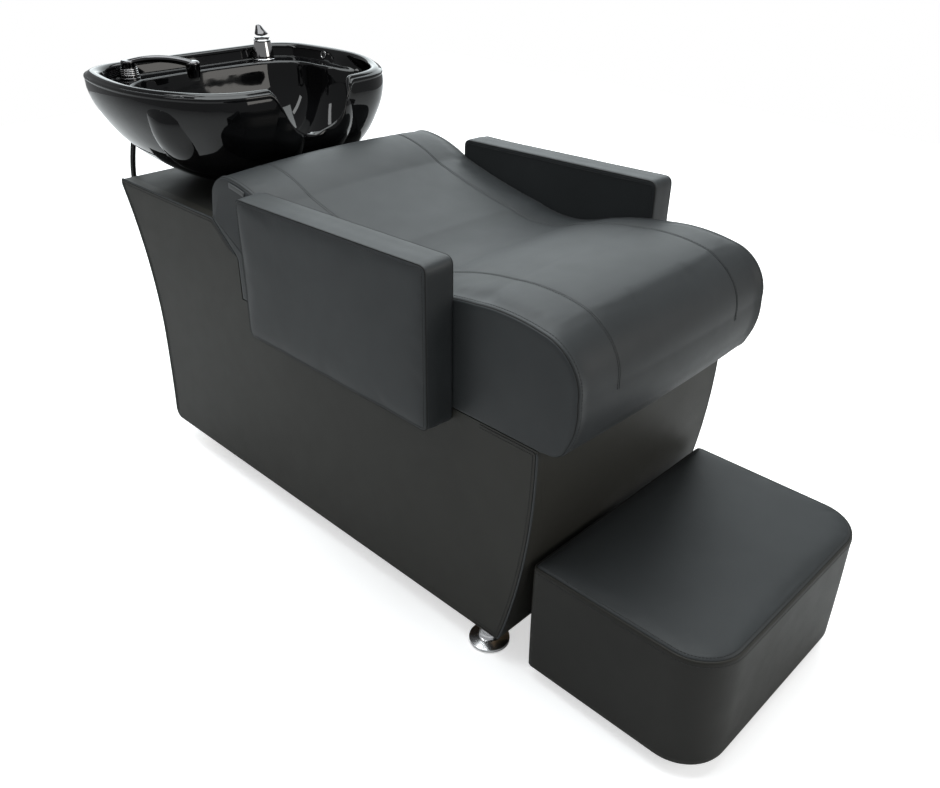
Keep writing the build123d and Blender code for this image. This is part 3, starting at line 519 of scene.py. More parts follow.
def outline_normals(points):
    """Outward normals of a closed outline."""
    along = np.roll(points, -1, 0) - np.roll(points, 1, 0)
    along /= np.linalg.norm(along, axis=1, keepdims=True)
    area = np.sum(points[:, 0] * np.roll(points[:, 1], -1) - np.roll(points[:, 0], -1) * points[:, 1])
    return np.column_stack((along[:, 1], -along[:, 0])) * np.sign(area)


cushion_normals = outline_normals(cushion_outline)
reach = np.concatenate(([0.0], np.cumsum(np.linalg.norm(np.diff(cushion_outline, axis=0), axis=1))))
top_reach = reach[len(cushion_top) - 1]
crowned = ease(reach, 15.0, 75.0) * (1.0 - ease(reach, top_reach - 70.0, top_reach - 5.0))
crowned[len(cushion_top):] = 0.0
seam_fade = 1.0 - ease(reach, top_reach - 230.0, top_reach - 120.0)
on_top = np.where(np.arange(len(cushion_outline)) < len(cushion_top), 1.0, 0.0)
SEAM_X = 171.0


def cushion_ring(x):
    """Outline of the cushion at one place across its width."""
    edge = max(0.0, abs(x) - (HALF_WIDTH - 9.0)) / 9.0
    drawn = 5.0 * (1.0 - math.sqrt(max(0.0, 1.0 - edge * edge)))
    crown = 9.0 * max(0.0, 1.0 - (x / 262.7) ** 2)
    seam = math.exp(-(((abs(x) - SEAM_X) / 6.0) ** 2)) * 0.35 + math.exp(-(((abs(x) - SEAM_X) / 1.0) ** 2)) * 0.6
    piped = math.exp(-(((abs(x) - (HALF_WIDTH - 3.0)) / 1.2) ** 2)) * 1.3
    lift = crown * crowned - seam * crowned * seam_fade - drawn * (0.3 + 0.7 * on_top) - piped * on_top
    ring = cushion_outline + cushion_normals * lift[:, None]
    return np.column_stack((np.full(len(ring), x), ring[:, 0], ring[:, 1])) * MM


near_seam = [SEAM_X + step for step in (-12, -8, -5, -3, -1.8, -1.0, -0.4, 0.4, 1.0, 1.8, 3, 5, 8, 12)]
near_edge = [HALF_WIDTH - step for step in (0, 0.4, 1.2, 2.0, 2.6, 3.0, 3.4, 4.0, 5.0, 7.0, 9.0, 13.0)]
middle_part = list(np.arange(0.0, 158.0, 7.5)) + list(np.arange(188.0, 256.0, 8.0))
stations = sorted(near_seam + near_edge + middle_part)
stations = [-x for x in stations[:0:-1]] + stations
cushion_rings = [cushion_ring(x) for x in stations]
for side in (0, -1):
    edge_ring = cushion_rings[side]
    outward = np.sign(edge_ring[0, 0])
    for depth, out in ((0.003, 0.0006), (0.007, 0.0008)):
        flat = inset(edge_ring[:, 1:], depth)
        extra = np.column_stack((edge_ring[:, 0] + outward * out, flat))
        cushion_rings.insert(0 if side == 0 else len(cushion_rings), extra)
cushion = mesh_piece("cushion_cover", *skin(cushion_rings, cap_first=True, cap_last=True), charcoal)


def cushion_freedom(point):
    """Free on top, held at the side seams, and still where it rests on its board."""
    low = ease(point.z * 1000.0, 506.0, 560.0)
    rear = 1.0 - ease(point.y * 1000.0, 300.0, 352.0)
    side = 1.0 - ease(abs(point.x) * 1000.0, HALF_WIDTH - 26.0, HALF_WIDTH - 6.0)
    return low * max(rear, 0.15) * side


inflate(cushion, 0.008, 4.0, 0.005, cushion_freedom)
place_on(cushion, "bed", "leatherette_cushion", "cushion")
cushion_skin = surface_of(cushion)


def on_cushion(x, start=0.0, end=1.0):
    """Line along the cushion's top at one place across its width."""
    first, last = int(start * (len(cushion_top) - 1)), int(end * (len(cushion_top) - 1))
    return cushion_ring(x)[first:last + 1]


# Each seam: name, its place and stretch, its lift and radius, then the stitch row's place and stretch
CUSHION_SEAMS = (("", SEAM_X, (0.01, 0.90), 0.0001, 0.0004, SEAM_X + 4.0, (0.012, 0.90)),
                 ("edge_", HALF_WIDTH - 3.0, (0.0, 1.0), 0.0002, 0.0012, HALF_WIDTH - 9.5, (0.004, 0.992)))
for side, label in ((-1.0, "left"), (1.0, "right")):
    for kind, x, stretch, lift, radius, stitch_x, stitched in CUSHION_SEAMS:
        path = resample(on_cushion(side * x, *stretch), 0.006, closed=False)
        spots, _ = on_surface(cushion_skin, path, lift)
        # Dark tube in the seam groove: painted shade.
        seam = tube_piece("cushion_%sseam_%s" % (kind, label), spots, radius, gap_shade, 6)
        row = "cushion_edge_stitch_" if kind else "cushion_seam_stitch_"
        stitches = stitch_row(row + label, cushion_skin, on_cushion(side * stitch_x, *stitched))
        for piece in (seam, stitches):
            place_on(piece, "bed", "leatherette_cushion")


# Arms: padded slabs with crowned faces
def pillow(name, outline, x_faces, edge_round, edge_draw, face_crown, material):
    """A padded slab: the closed (y, z) outline between two x faces, edges rounded, faces crowned."""
    centre = outline.mean(0)
    low, high = x_faces
    layers = []
    inner = inset(outline, edge_draw)
    for x_face, towards, crown in ((low, -1.0, face_crown[0]), (high, 1.0, face_crown[1])):
        face = []
        for share in (0.03, 0.12, 0.22, 0.32, 0.42, 0.52, 0.62, 0.7, 0.78, 0.85, 0.9, 0.94, 0.97, 0.985):
            face.append((x_face + towards * crown * (1.0 - share ** 4), centre + (inner - centre) * share))
        for step in range(9):
            angle = math.pi / 2 * step / 8
            face.append((x_face - towards * edge_round * (1.0 - math.cos(angle)),
                         inset(outline, edge_draw * (1.0 - math.sin(angle)))))
        if towards > 0:
            face = face[::-1]
        layers += face
        if towards < 0:
            span = (high - edge_round) - (low + edge_round)
            for share in np.linspace(0.0, 1.0, 8)[1:-1]:
                bulge = 1.6 * (1.0 - (2.0 * share - 1.0) ** 2)
                layers.append((low + edge_round + span * share, inset(outline, -bulge)))
    rings = [np.column_stack((np.full(len(points), x), points)) for x, points in layers]
    return mesh_piece(name, *skin(np.array(rings) * MM, cap_first=True, cap_last=True), material)


ARM_CORNERS = np.array([[186, 477], [186, 760], [-325, 775], [-325, 477]], float)
arm_line = resample(round_corners(ARM_CORNERS, 16.0), 6.0)
arm_right = pillow("arm_right_cover", arm_line, (272.3, 332.0), 6.0, 5.0, (0.0, 1.0), charcoal)


def arm_freedom(point):
    """Free outside and on top, still where the arm is screwed to the base."""
    return ease(point.x * 1000.0, 276.0, 300.0) * 0.8


inflate(arm_right, 0.007, 3.0, 0.0035, arm_freedom)
arm_left = mesh_piece(
    "arm_left_cover", [(-v.co.x, v.co.y, v.co.z) for v in arm_right.data.vertices],
    [tuple(face.vertices)[::-1] for face in arm_right.data.polygons], charcoal,
)
closed_edge = resample(round_corners(ARM_CORNERS, 16.0), 5.0)
CUSHION_HIDES = 0.690


def arm_edge(x, depth, whole_way):
    """Line along an arm's edge, or only its stretch above the cushion."""
    edge = inset(closed_edge, depth)
    line = np.column_stack((np.full(len(edge), x), edge)) * MM
    if not whole_way:
        line = np.roll(line, -int(np.argmin(line[:, 2] > CUSHION_HIDES)), 0)
        line = line[line[:, 2] > CUSHION_HIDES]
    return line


for piece, node in ((arm_left, "arm_left"), (arm_right, "arm_right")):
    place_on(piece, "bed", "leatherette_arm", node)
    skin_tree = surface_of(piece)
    sign = 1.0 if node == "arm_right" else -1.0
    for face_x, label in ((331.0, "outer"), (273.5, "inner")):
        whole_way = label == "outer"
        spots, _ = on_surface(skin_tree, arm_edge(sign * face_x, 2.2, whole_way), 0.0002)
        # Dark tube in the seam groove: painted shade.
        seam = tube_piece(node + "_seam_" + label, spots, 0.0011, gap_shade, 6, closed=whole_way)
        stitches = stitch_row(node + "_stitch_" + label, skin_tree, arm_edge(sign * face_x, 9.0, whole_way),
                              closed=whole_way)
        for detail in (seam, stitches):
            place_on(detail, "bed", "leatherette_arm")


# Footrest block: a covered body, and a padded top with a double seam at its edge
def stack(name, outline, layers, material):
    """A covered block: (x, y) outline drawn in by each layer's depth at its height."""
    centre = outline.mean(0)
    rings = []
    for depth, height, share in layers:
        points = inset(outline, depth)
        points = centre + (points - centre) * share
        rings.append(np.column_stack((points, np.full(len(points), height))))
    return mesh_piece(name, *skin(np.array(rings) * MM, cap_first=True, cap_last=True), material)


def footrest_line(front_radius):
    points = []
    for x, y, radius, start in ((252, -514, 10, 0), (-252, -514, 10, 90),
                                (-262 + front_radius, -861 + front_radius, front_radius, 180),
                                (262 - front_radius, -861 + front_radius, front_radius, 270)):
        for k in range(17):
            angle = math.radians(start + 90 * k / 16)
            points.append((x + radius * math.cos(angle), y + radius * math.sin(angle)))
    return resample(np.array(points), 6.0)


block_line = footrest_line(82.0)
body_layers = [(3.0, 33.0, 0.05), (3.0, 33.0, 0.9), (3.0, 33.0, 1.0), (1.0, 33.6, 1.0), (0.0, 36.0, 1.0)]
body_layers += [(-0.8 * math.sin(math.pi * share), 36 + 219 * share, 1.0) for share in np.linspace(0.04, 0.96, 19)]
body_layers += [(0.0, 257.0, 1.0), (0.5, 260.5, 1.0), (1.7, 262.6, 1.0), (3.2, 263.2, 1.0), (4.4, 262.4, 1.0),
                (5.0, 260.0, 1.0), (5.0, 240.0, 1.0), (5.0, 240.0, 0.9), (5.0, 240.0, 0.05)]
footrest_body = stack("footrest_body_cover", block_line, body_layers, charcoal_base)
top_layers = [(7.0, 244.0, 0.05), (7.0, 244.0, 0.9), (6.0, 244.0, 1.0), (5.4, 255.0, 1.0), (4.6, 261.4, 1.0),
              (4.5, 262.6, 1.0), (5.0, 264.2, 1.0), (6.4, 265.6, 1.0), (7.8, 266.3, 1.0), (7.8, 266.6, 0.99),
              (7.8, 266.9, 0.98)]
top_layers += [(7.8, 266.9 + 1.5 * (1.0 - share ** 3), share)
               for share in (0.97, 0.94, 0.9, 0.85, 0.8, 0.72, 0.64, 0.55, 0.45, 0.35, 0.25, 0.15, 0.05)]
footrest_top = stack("footrest_top_cover", block_line, top_layers, charcoal)
FLAT_Z, CROWN = 0.2667, 0.0022
for vertex in footrest_top.data.vertices:
    if vertex.co.z > FLAT_Z:
        across, along = vertex.co.x / 0.250, (vertex.co.y + 0.6825) / 0.170
        vertex.co.z = FLAT_Z + CROWN * max(0.0, 1.0 - across * across) * max(0.0, 1.0 - along * along)
footrest_top.data.update()


def footrest_freedom(point):
    """Only the flat of the top swells."""
    return ease(point.z * 1000.0, 262.0, 267.0)


inflate(footrest_top, 0.006, 3.0, 0.003, footrest_freedom)
place_on(footrest_body, "footrest", "leatherette_footrest", "footrest_body")
place_on(footrest_top, "footrest", "leatherette_footrest", "footrest_top")
top_skin = surface_of(footrest_top)
body_skin = surface_of(footrest_body)


def block_edge(depth, height):
    edge = inset(block_line, depth)
    return np.column_stack((edge, np.full(len(edge), height))) * MM


# The seam tube below the top's edge is painted shade in the groove.
for detail in (tube_piece("footrest_seam", block_edge(4.5, 262.5), 0.0010, gap_shade, 6, closed=True),
               stitch_row("footrest_top_stitch", top_skin, block_edge(9.0, 266.6), closed=True),
               stitch_row("footrest_side_stitch", body_skin, block_edge(0.3, 254.0), closed=True)):
    place_on(detail, "footrest", "leatherette_footrest")


# Base: piping and stitched seams round the covered side boards
front_track = tangent_chain([(-510.0, 480.0), (-443.0, 55.0)], (0.0, -1.0), 24)
rear_track = np.vstack((
    [[677.0, 75.0]],
    arc_through((677, 75), (669.5, 195), (667, 315), 18),
    arc_through((667, 315), (691, 480), (754, 644), 18),
))
base_outline = np.vstack((
    [[-510.0, 503.0]], front_track, [[677.0, 55.0]], rear_track,
    [[754.0, 660.0], [376.0, 660.0], [296.0, 593.0], [296.0, 503.0]],
))
panel = resample(round_corners(base_outline, 14.0, sharp=30.0), 5.0)


def part_of(line, test):
    """The one stretch of a closed line whose points pass a test."""
    passed = np.array([test(point) for point in line])
    start = int(np.argmin(passed))
    line, passed = np.roll(line, -start, 0), np.roll(passed, -start, 0)
    return line[passed]


def at_front(point):
    return point[0] < -380.0 and 58.0 < point[1] < 500.0


def at_rear(point):
    return (point[0] > 560.0 and point[1] > 70.0) or (point[0] > 300.0 and point[1] > 598.0)


SIDE_FACE = 272.0
for side, node in ((-1.0, "base_side_left"), (1.0, "base_side_right")):
    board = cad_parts[node]
    board.data.materials.clear()
    board.data.materials.append(charcoal_base)
    board_skin = surface_of(board)
    for test, label in ((at_front, "front"), (at_rear, "rear")):
        for depth, kind in ((1.2, "piping"), (4.2, "seam"), (10.5, "stitch")):
            stretch = part_of(inset(panel, depth), test)
            line = np.column_stack((np.full(len(stretch), side * SIDE_FACE), stretch)) * MM
            if kind == "piping":
                line[:, 0] = side * 0.2712  # sunk a little, so that the tube shows as a low cord
                piece = tube_piece(node + "_piping_" + label, line, 0.0019, charcoal, 8)
            elif kind == "seam":
                # Dark tube in the seam groove: painted shade.
                piece = tube_piece(node + "_seam_" + label, line, 0.0009, gap_shade, 6)
            else:
                piece = stitch_row(node + "_stitch_" + label, board_skin, line)
            place_on(piece, "bed", "leatherette_base")


# Bowl: one skin from the outer shell over the rolled rim, down the ledge and basin to the drain
def curve_value(x, places, values):
    """Smooth value between given places, with the slopes of the neighbouring places."""
    places, values = np.asarray(places, float), np.asarray(values, float)
    secant = np.diff(values) / np.diff(places)
    slope = np.concatenate(([secant[0]], (secant[1:] + secant[:-1]) / 2, [secant[-1]]))
    x = np.clip(x, places[0], places[-1])
    index = np.clip(np.searchsorted(places, x) - 1, 0, len(places) - 2)
    width = places[index + 1] - places[index]
    t = (x - places[index]) / width
    return (values[index] * (1 + 2 * t) * (1 - t) ** 2 + values[index + 1] * t * t * (3 - 2 * t)
            + slope[index] * width * t * (1 - t) ** 2 + slope[index + 1] * width * t * t * (t - 1))


RIM_Z, LEDGE_Z, FOOT_Z, FLOOR_Z = 890.0, 859.0, 667.0, 683.0
SHELL_RISE, BASIN_DEPTH, SHELL_Y = RIM_Z - FOOT_Z, LEDGE_Z - FLOOR_Z, 617.8
shell_half = tangent_chain([(x * 311.0, y * 241.5) for x, y in (
    (0, 1), (0.652, 1.003), (0.949, 0.706), (1, 0.091), (0.786, -0.774), (0.486, -1.016), (0, -1.05))], (1.0, 0.0), 60)
basin_half = tangent_chain([(x * 276.0, y * (182.0 if y > 0 else 208.0)) for x, y in (
    (0, 1), (0.56, 0.945), (0.86, 0.38), (1, -0.15), (0.79, -0.74), (0.49, -0.985), (0, -1))], (1.0, 0.0), 60)


def half_stations(half, turn_x, count, front_x):
    """Points of a half outline: evenly spaced to turn_x at the front, then at the given places across."""
    lengths = np.concatenate(([0.0], np.cumsum(np.linalg.norm(np.diff(half, axis=0), axis=1))))
    front = half[:, 1] < 0
    first = int(np.argmax(front & (half[:, 0] < turn_x)))
    even = np.linspace(0.0, lengths[first], count, endpoint=False)
    track = [np.array([np.interp(place, lengths, half[:, axis]) for axis in (0, 1)]) for place in even]
    nose = half[front][::-1]
    for x in front_x:
        track.append(np.array([x, np.interp(x, nose[:, 0], nose[:, 1])]))
    return np.array(track)


front_x = np.linspace(126.0, 0.0, 43)
shell_side = half_stations(shell_half, 127.0, 64, front_x)
basin_side = half_stations(basin_half, 127.0, 64, front_x)


def whole(side):
    return np.vstack((side, (side[1:-1] * (-1.0, 1.0))[::-1]))


shell_unit, basin_unit = whole(shell_side), whole(basin_side)
around = len(shell_unit)
SHELL_Z = np.array([0, 0.056, 0.139, 0.245, 0.384, 0.546, 0.735, 0.965, 1.0]) * SHELL_RISE + FOOT_Z
SHELL_SIZE = (0.45, 0.562, 0.665, 0.764, 0.857, 0.929, 0.989, 1.0, 0.983)
BASIN_Z = np.array([0, 0.09, 0.22, 0.40, 0.62, 1.0]) * BASIN_DEPTH + FLOOR_Z
BASIN_SIZE = (0.46, 0.63, 0.775, 0.885, 0.96, 1.0)


def lean(z):
    """Middle of the shell along the bed at a height."""
    return SHELL_Y - 28.0 * (882.2 - z) / SHELL_RISE


def shell_at(z, size=None):
    """Outer shell points at heights z, one for each station."""
    z = np.broadcast_to(z, around).astype(float)
    size = curve_value(z, SHELL_Z, SHELL_SIZE) if size is None else size
    return np.column_stack((shell_unit[:, 0] * size, lean(z) + shell_unit[:, 1] * size, z))


def basin_at(z):
    """Basin wall points at heights z, one for each station."""
    z = np.broadcast_to(z, around).astype(float)
    size = curve_value(z, BASIN_Z, BASIN_SIZE)
    centre = 609.0 - 18.0 * (LEDGE_Z - z) / BASIN_DEPTH
    return np.column_stack((basin_unit[:, 0] * size, centre + basin_unit[:, 1] * size, z))


rim_inner = shell_at(RIM_Z, 0.925)
rim_inner[:, 2] = RIM_Z


def inner_wall(z):
    """Wall of the basin up to the rim, for stations without the tap ledge."""
    z = np.broadcast_to(z, around).astype(float)
    low = basin_at(np.minimum(z, LEDGE_Z))
    share = ease(z, LEDGE_Z - 24.0, RIM_Z + 14.0)[:, None]
    wall = low * (1.0 - share) + rim_inner * share
    wall[:, 2] = z
    return wall


def notch_height(x):
    """Rim height across the neck notch: an arc, steep straight sides and rounded shoulders."""
    x = np.abs(x)
    low, turn, radius, shoulder = 784.0, math.radians(66.0), 84.0, 15.0
    end_x, end_z = radius * math.sin(turn), low + radius * (1.0 - math.cos(turn))
    arc = low + radius - np.sqrt(radius ** 2 - np.minimum(x, end_x) ** 2)
    cut = np.where(x < end_x, arc, end_z + (x - end_x) * math.tan(turn))
    blend = np.clip(0.5 + 0.5 * (cut - RIM_Z) / shoulder, 0.0, 1.0)
    return cut * (1.0 - blend) + RIM_Z * blend - shoulder * blend * (1.0 - blend)


at_nose = shell_unit[:, 1] < 0
top_z = np.full(around, RIM_Z)
inner_top = np.full(around, RIM_Z)
for _ in range(12):
    top_z = np.where(at_nose, 0.5 * top_z + 0.5 * notch_height(shell_at(top_z)[:, 0]), RIM_Z)
    inner_top = np.where(at_nose, 0.5 * inner_top + 0.5 * notch_height(inner_wall(inner_top)[:, 0]), RIM_Z)
rows = []
for share in (0.0, 0.02, 0.05, 0.09, 0.14, 0.19, 0.25, 0.31, 0.38, 0.45, 0.52, 0.60, 0.68, 0.76, 0.84, 0.92, 1.0):
    rows.append((shell_at(FOOT_Z + (top_z - 16.0 - FOOT_Z) * share), 0.0 if share else 6.0))
outward = outline_normals(shell_unit)
if outward[0, 1] < 0:
    outward = -outward
for drop, proud in ((14.6, 0.1), (13.4, 0.7), (12.0, 1.5), (10.2, 2.1), (8.2, 2.4), (6.2, 2.2)):
    ring = shell_at(top_z - drop)
    ring[:, :2] += outward * proud
    rows.append((ring, 0.0))
outer_lip, inner_lip = shell_at(top_z, curve_value(top_z, SHELL_Z, SHELL_SIZE)), inner_wall(inner_top)
outer_lip[:, :2] += outward * 1.6
side_way = inner_lip - outer_lip
for share, up in ((0.0, -3.8), (0.05, -1.9), (0.13, -0.2), (0.26, 1.3), (0.42, 2.1), (0.58, 1.9), (0.74, 0.7),
                  (0.87, -1.4), (0.95, -3.8), (0.99, -6.6)):
    ring = outer_lip + side_way * share
    ring[:, 2] += up - 1.2
    rows.append((ring, 0.0))
ledge_share = ease(shell_unit[:, 1] + SHELL_Y, 600.0, 720.0)[:, None]
ledge_outer = shell_at(LEDGE_Z, 0.905)
span = (inner_top - FLOOR_Z) / (RIM_Z - FLOOR_Z)


def wall_row(z):
    return inner_wall(FLOOR_Z + (z - FLOOR_Z) * span)


for z in (880.0, 872.0, 864.0):
    recess = shell_at(z, 0.925 - 0.020 * (RIM_Z - z) / (RIM_Z - LEDGE_Z))
    rows.append((recess * ledge_share + wall_row(z) * (1.0 - ledge_share), 0.0))
corner = ledge_outer * ledge_share + wall_row(858.0) * (1.0 - ledge_share)
edge_row = basin_at(LEDGE_Z) * ledge_share + wall_row(850.0) * (1.0 - ledge_share)
rows.append((corner, 4.5))
rows.append((corner * 0.5 + edge_row * 0.5, 0.0))
rows.append((edge_row, 7.0))
for z in (838.0, 824.0, 808.0, 790.0, 772.0, 755.0, 739.0, 725.0, 713.0, 703.0, 695.0, 689.0, 685.5):
    rows.append((wall_row(z), 0.0))
floor_ring = wall_row(FLOOR_Z)
DRAIN_Y = 591.0
drain_angle = np.arctan2(floor_ring[:, 1] - DRAIN_Y, floor_ring[:, 0])


def drain_circle(radius, z):
    return np.column_stack((radius * np.cos(drain_angle), DRAIN_Y + radius * np.sin(drain_angle), np.full(around, z)))


drain_rim = drain_circle(44.0, 682.6)
for share in (0.0, 0.12, 0.3, 0.5, 0.7, 0.88, 1.0):
    rows.append((floor_ring * (1.0 - share) + drain_rim * share, 0.0))
rows.append((drain_circle(39.0, 682.0), 0.0))
rows.append((drain_circle(22.6, 682.0), 0.0))
rows.append((drain_circle(22.6, FOOT_Z + 0.2), 0.0))
rows.append((shell_at(FOOT_Z + 0.1, 0.25), 0.0))
bowl_rings = []
count = len(rows)
for index, (ring, radius) in enumerate(rows):
    if not radius:
        bowl_rings.append(ring)
        continue
    before, after = rows[index - 1][0] - ring, rows[(index + 1) % count][0] - ring
    a = np.linalg.norm(before, axis=1, keepdims=True)
    b = np.linalg.norm(after, axis=1, keepdims=True)
    start = ring + before * np.minimum(radius / np.maximum(a, 1e-6), 0.45)
    end = ring + after * np.minimum(radius / np.maximum(b, 1e-6), 0.45)
    for t in np.linspace(0.0, 1.0, 6):
        bowl_rings.append((1 - t) ** 2 * start + 2 * t * (1 - t) * ring + t ** 2 * end)
bowl_rings = np.array(bowl_rings) * MM
points, faces = skin(np.concatenate((bowl_rings, bowl_rings[:1])))
bowl = mesh_piece("bowl_skin", points, faces, black_glaze)


# Wells and holes for the two taps
MIXER, HOLDER = (182, 810), (-182, 810)


def circle(centre, radius, z, sides):
    return [(centre[0] + radius * math.cos(2 * math.pi * k / sides),
             centre[1] + radius * math.sin(2 * math.pi * k / sides), z) for k in range(sides)]


def turned(name, profile, centre, material, sides=48, solid=False):
    """Round piece about an upright axis from (radius, height) points: a closed section, or solid to the axis."""
    rings = np.array([circle(centre, radius, z, sides) for radius, z in profile]) * MM
    if not solid:
        rings = np.concatenate((rings, rings[:1]))
    return mesh_piece(name, *skin(rings, cap_first=solid, cap_last=solid), material)


def band(radius, z, thick):
    """Round section of a band, as (radius, height) points."""
    return [(radius + thick * math.cos(2 * math.pi * k / 12), z + thick * math.sin(2 * math.pi * k / 12))
            for k in range(12)]


for centre, radius, low, high in ((HOLDER, 27, 600, 845), (MIXER, 27, 600, 845),
                                  (HOLDER, 15, 830, 880), (MIXER, 17.5, 830, 880)):
    tool = turned("cutter", ((radius, low), (radius, high)), centre, black_glaze, solid=True)
    cut = bowl.modifiers.new("hole", "BOOLEAN")
    cut.operation = "DIFFERENCE"
    cut.solver = "EXACT"
    cut.object = tool
    holed = bpy.data.meshes.new_from_object(bowl.evaluated_get(bpy.context.evaluated_depsgraph_get()))
    bowl.modifiers.clear()
    bowl.data = holed
    bpy.data.objects.remove(tool)
bowl.data.shade_smooth()
bowl.data.set_sharp_from_angle(angle=math.radians(50.0))
place_on(bowl, "bed", "bowl_ceramic", "bowl")


# Taps: sleeve, bands, cap and handle of the mixer, and ribs on the shower holder
place_on(turned("mixer_sleeve", [
    (24.4, 859.2), (27.2, 859.4), (27.6, 861.5), (27.2, 863.4), (26.6, 864.6), (26.4, 866.5), (26.6, 868.0),
    (26.3, 870.0), (25.7, 874.0), (24.7, 880.0), (23.6, 886.0), (22.4, 892.0), (21.2, 898.0), (20.4, 902.0),
    (20.2, 903.2), (20.7, 904.2), (20.9, 905.6), (20.6, 907.2), (19.6, 908.4), (18.2, 909.0), (16.9, 908.6),
    (16.9, 900.0), (24.2, 867.4),
], MIXER, dark_chrome, 64), "bed", "mixer_chrome")
place_on(turned("mixer_top_band", band(20.3, 905.6, 1.3), MIXER, chrome), "bed", "mixer_chrome")
place_on(turned("mixer_base_band", band(26.6, 861.6, 1.5), MIXER, chrome), "bed", "mixer_chrome")
place_on(turned("mixer_cap", [
    (12.0, 910.4), (18.2, 910.5), (18.9, 911.0), (18.8, 912.0), (18.0, 912.8), (16.2, 913.2), (11.0, 913.35),
    (4.0, 913.4),
], MIXER, black_chrome, 64, solid=True), "mixer_hub_body", "mixer_chrome", "mixer_hub")
lever_rings = []
for z, y, wide, deep in ((914.4, 810.0, 1.5, 1.5), (915.3, 810.0, 6.0, 4.0), (916.3, 810.0, 10.5, 6.2),
                         (917.3, 810.0, 13.6, 8.3), (918.3, 810.1, 15.6, 10.2), (919.8, 810.6, 16.6, 12.2),
                         (922.0, 812.0, 15.8, 12.0), (925.2, 814.2, 13.6, 10.6), (929.4, 816.4, 11.0, 8.8),
                         (933.4, 818.5, 9.0, 7.2), (936.8, 820.2, 7.6, 6.0), (939.0, 821.2, 6.0, 4.8),
                         (940.2, 821.8, 3.6, 2.9), (940.5, 822.0, 1.0, 0.8)):
    ring = []
    for k in range(32):
        angle = 2 * math.pi * k / 32
        ring.append((182.0 + wide * math.copysign(abs(math.cos(angle)) ** 0.8, math.cos(angle)),
                     y + deep * math.copysign(abs(math.sin(angle)) ** 0.8, math.sin(angle)), z))
    lever_rings.append(ring)
place_on(mesh_piece("mixer_handle", *skin(np.array(lever_rings) * MM, cap_first=True, cap_last=True), black_chrome),
         "mixer_lever_body", "mixer_chrome", "mixer_lever")
for index, z in enumerate((869.0, 873.0, 877.0, 881.0)):
    radius = float(np.interp(z, (864.0, 885.0), (21.0, 17.0)))
    rib = turned("holder_rib_%d" % index, band(radius + 0.3, z, 1.0), HOLDER, dark_chrome)
    place_on(rib, "bed", "holder_chrome")


# Overflow ring on the wall behind the ledge, and the bare tag at the cushion's side seam
spot, normal, _, _ = surface_of(bowl).find_nearest(Vector((0.281, 0.693, 0.8740)))
if normal.x > 0:
    normal = -normal
turn = normal.to_track_quat("Z", "Y").to_matrix()
ring_rows = []
for k in range(40):
    angle = 2 * math.pi * k / 40
    row = []
    for j in range(12):
        roll_angle = 2 * math.pi * j / 12
        radius = 0.0085 + 0.0017 * math.cos(roll_angle)
        place = Vector((radius * math.cos(angle), radius * math.sin(angle), 0.0009 + 0.0015 * math.sin(roll_angle)))
        row.append(tuple(spot + turn @ place))
    ring_rows.append(row)
place_on(mesh_piece("overflow_ring", *skin(np.array(ring_rows + ring_rows[:1])), dark_chrome), "bed", "bowl_ceramic")
# A near-black disc in the overflow's opening: painted shade for the hole.
disc_rows = []
for radius, height in ((0.0002, 0.0002), (0.004, 0.0003), (0.0072, 0.0004), (0.0080, 0.0009)):
    disc_rows.append([tuple(spot + turn @ Vector(place)) for place in circle((0.0, 0.0), radius, height, 32)])
place_on(mesh_piece("overflow_mouth", *skin(np.array(disc_rows), cap_first=True), gap_shade), "bed", "bowl_ceramic")
tag_rows = []
for step in range(17):
    along = step / 16
    y = 292.0 - 50.0 * along
    height = float(np.interp(y, cushion_top[::-1, 0], cushion_top[::-1, 1]))
    swell = 0.4 * math.sin(math.pi * along)
    row = []
    for out, down in ((0.2, 0.0), (1.3, -0.4), (1.9, 0.6), (2.0, 4.0), (2.1, 8.0), (1.9, 9.6), (1.1, 10.0), (0.3, 9.6),
                      (0.2, 5.0)):
        z = height - 7.0 - down
        hit = cushion_skin.ray_cast(Vector((-0.6, y * MM, z * MM)), Vector((1.0, 0.0, 0.0)))[0]
        row.append((hit.x / MM - out - swell, y, z))
    tag_rows.append(row)
place_on(mesh_piece("cushion_tag", *skin(np.array(tag_rows) * MM, cap_first=True, cap_last=True), woven_tag),
         "bed", "leatherette_cushion")


# Studio: plain pale floor, white surround to the camera, soft lights
def seen_directly(nodes):
    """One for rays from the camera alone."""
    return nodes.new("ShaderNodeLightPath").outputs["Is Camera Ray"]


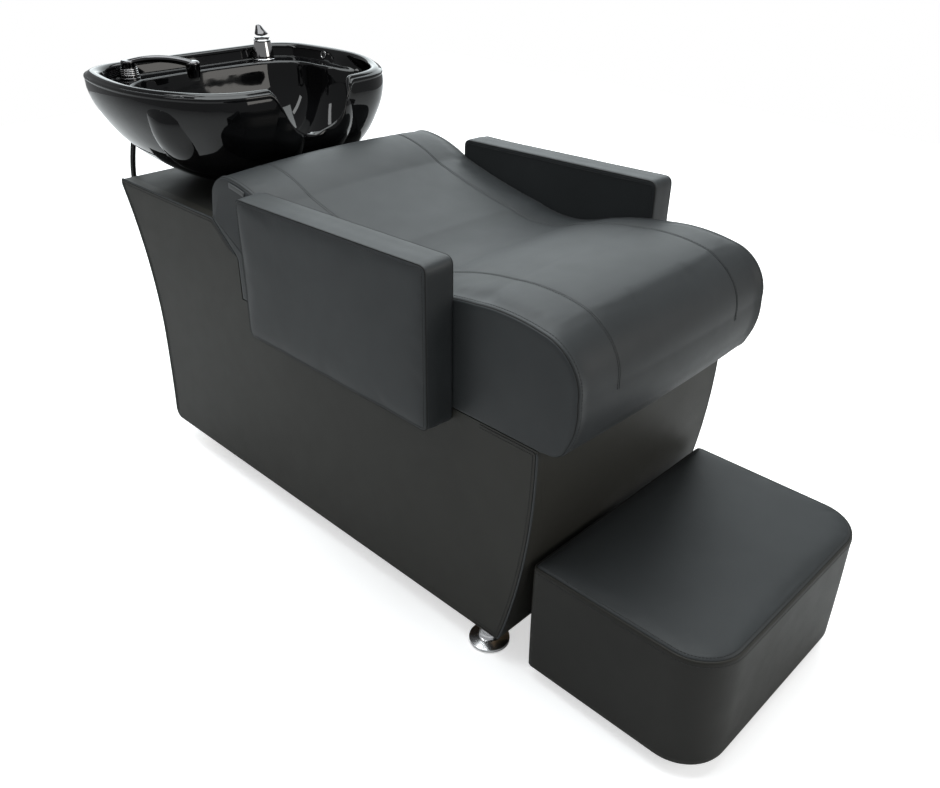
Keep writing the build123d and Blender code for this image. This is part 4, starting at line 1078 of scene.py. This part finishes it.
ground = Surface("pale_floor")
ground.tone(ground.ramp(ground.noise(3.0, 3.0), (0.80, 0.80, 0.80), (0.84, 0.84, 0.84)))
ground.shader.inputs["Roughness"].default_value = 0.8
ground.shader.inputs["Specular IOR Level"].default_value = 0.2
glow = ground.nodes.new("ShaderNodeMath")
glow.operation = "MULTIPLY"
glow.inputs[1].default_value = 0.58
ground.link(seen_directly(ground.nodes), glow.inputs[0])
ground.shader.inputs["Emission Color"].default_value = (1.0, 1.0, 1.0, 1.0)
ground.link(glow.outputs["Value"], ground.shader.inputs["Emission Strength"])
FLOOR_HALF = 4.2
floor_data = bpy.data.meshes.new("floor")
corners = [(x * FLOOR_HALF, y * FLOOR_HALF, 0) for x, y in ((-1, -1), (1, -1), (1, 1), (-1, 1))]
floor_data.from_pydata(corners, [], [(0, 1, 2, 3)])
floor_data.materials.append(ground.material)
floor = bpy.data.objects.new("floor", floor_data)
scene.collection.objects.link(floor)

world = bpy.data.worlds.new("studio")
scene.world = world
world.use_nodes = True
nodes, links = world.node_tree.nodes, world.node_tree.links
surround = nodes["Background"]
surround.inputs["Color"].default_value = (0.82, 0.84, 0.86, 1.0)
surround.inputs["Strength"].default_value = 0.40
white = nodes.new("ShaderNodeBackground")
white.inputs["Color"].default_value = (1.0, 1.0, 1.0, 1.0)
white.inputs["Strength"].default_value = 1.0
mixer = nodes.new("ShaderNodeMixShader")
links.new(seen_directly(nodes), mixer.inputs["Fac"])
links.new(surround.outputs["Background"], mixer.inputs[1])
links.new(white.outputs["Background"], mixer.inputs[2])
links.new(mixer.outputs["Shader"], nodes["World Output"].inputs["Surface"])


def soft_light(name, place, target, width, height, power, tint):
    data = bpy.data.lights.new(name, "AREA")
    data.shape = "RECTANGLE"
    data.size, data.size_y, data.energy = width, height, power
    data.color = tint
    lamp = bpy.data.objects.new(name, data)
    lamp.location = place
    lamp.rotation_euler = (Vector(target) - Vector(place)).to_track_quat("-Z", "Y").to_euler()
    scene.collection.objects.link(lamp)


soft_light("window_rear", (4.0, 3.9, 3.4), (0.0, 0.0, 0.5), 7.5, 5.0, 262.0, (0.90, 0.98, 1.0))
soft_light("overhead", (0.2, 0.3, 3.6), (0.0, 0.0, 0.4), 3.0, 3.0, 150.0, (0.94, 0.99, 1.0))
soft_light("fill_front", (1.6, -4.2, 1.9), (0.0, -0.4, 0.4), 2.4, 2.0, 60.0, (1.0, 0.97, 0.92))
soft_light("strip_left", (-1.7, 1.0, 2.8), (0.0, 0.6, 0.85), 0.35, 1.5, 11.0, (0.97, 0.99, 1.0))
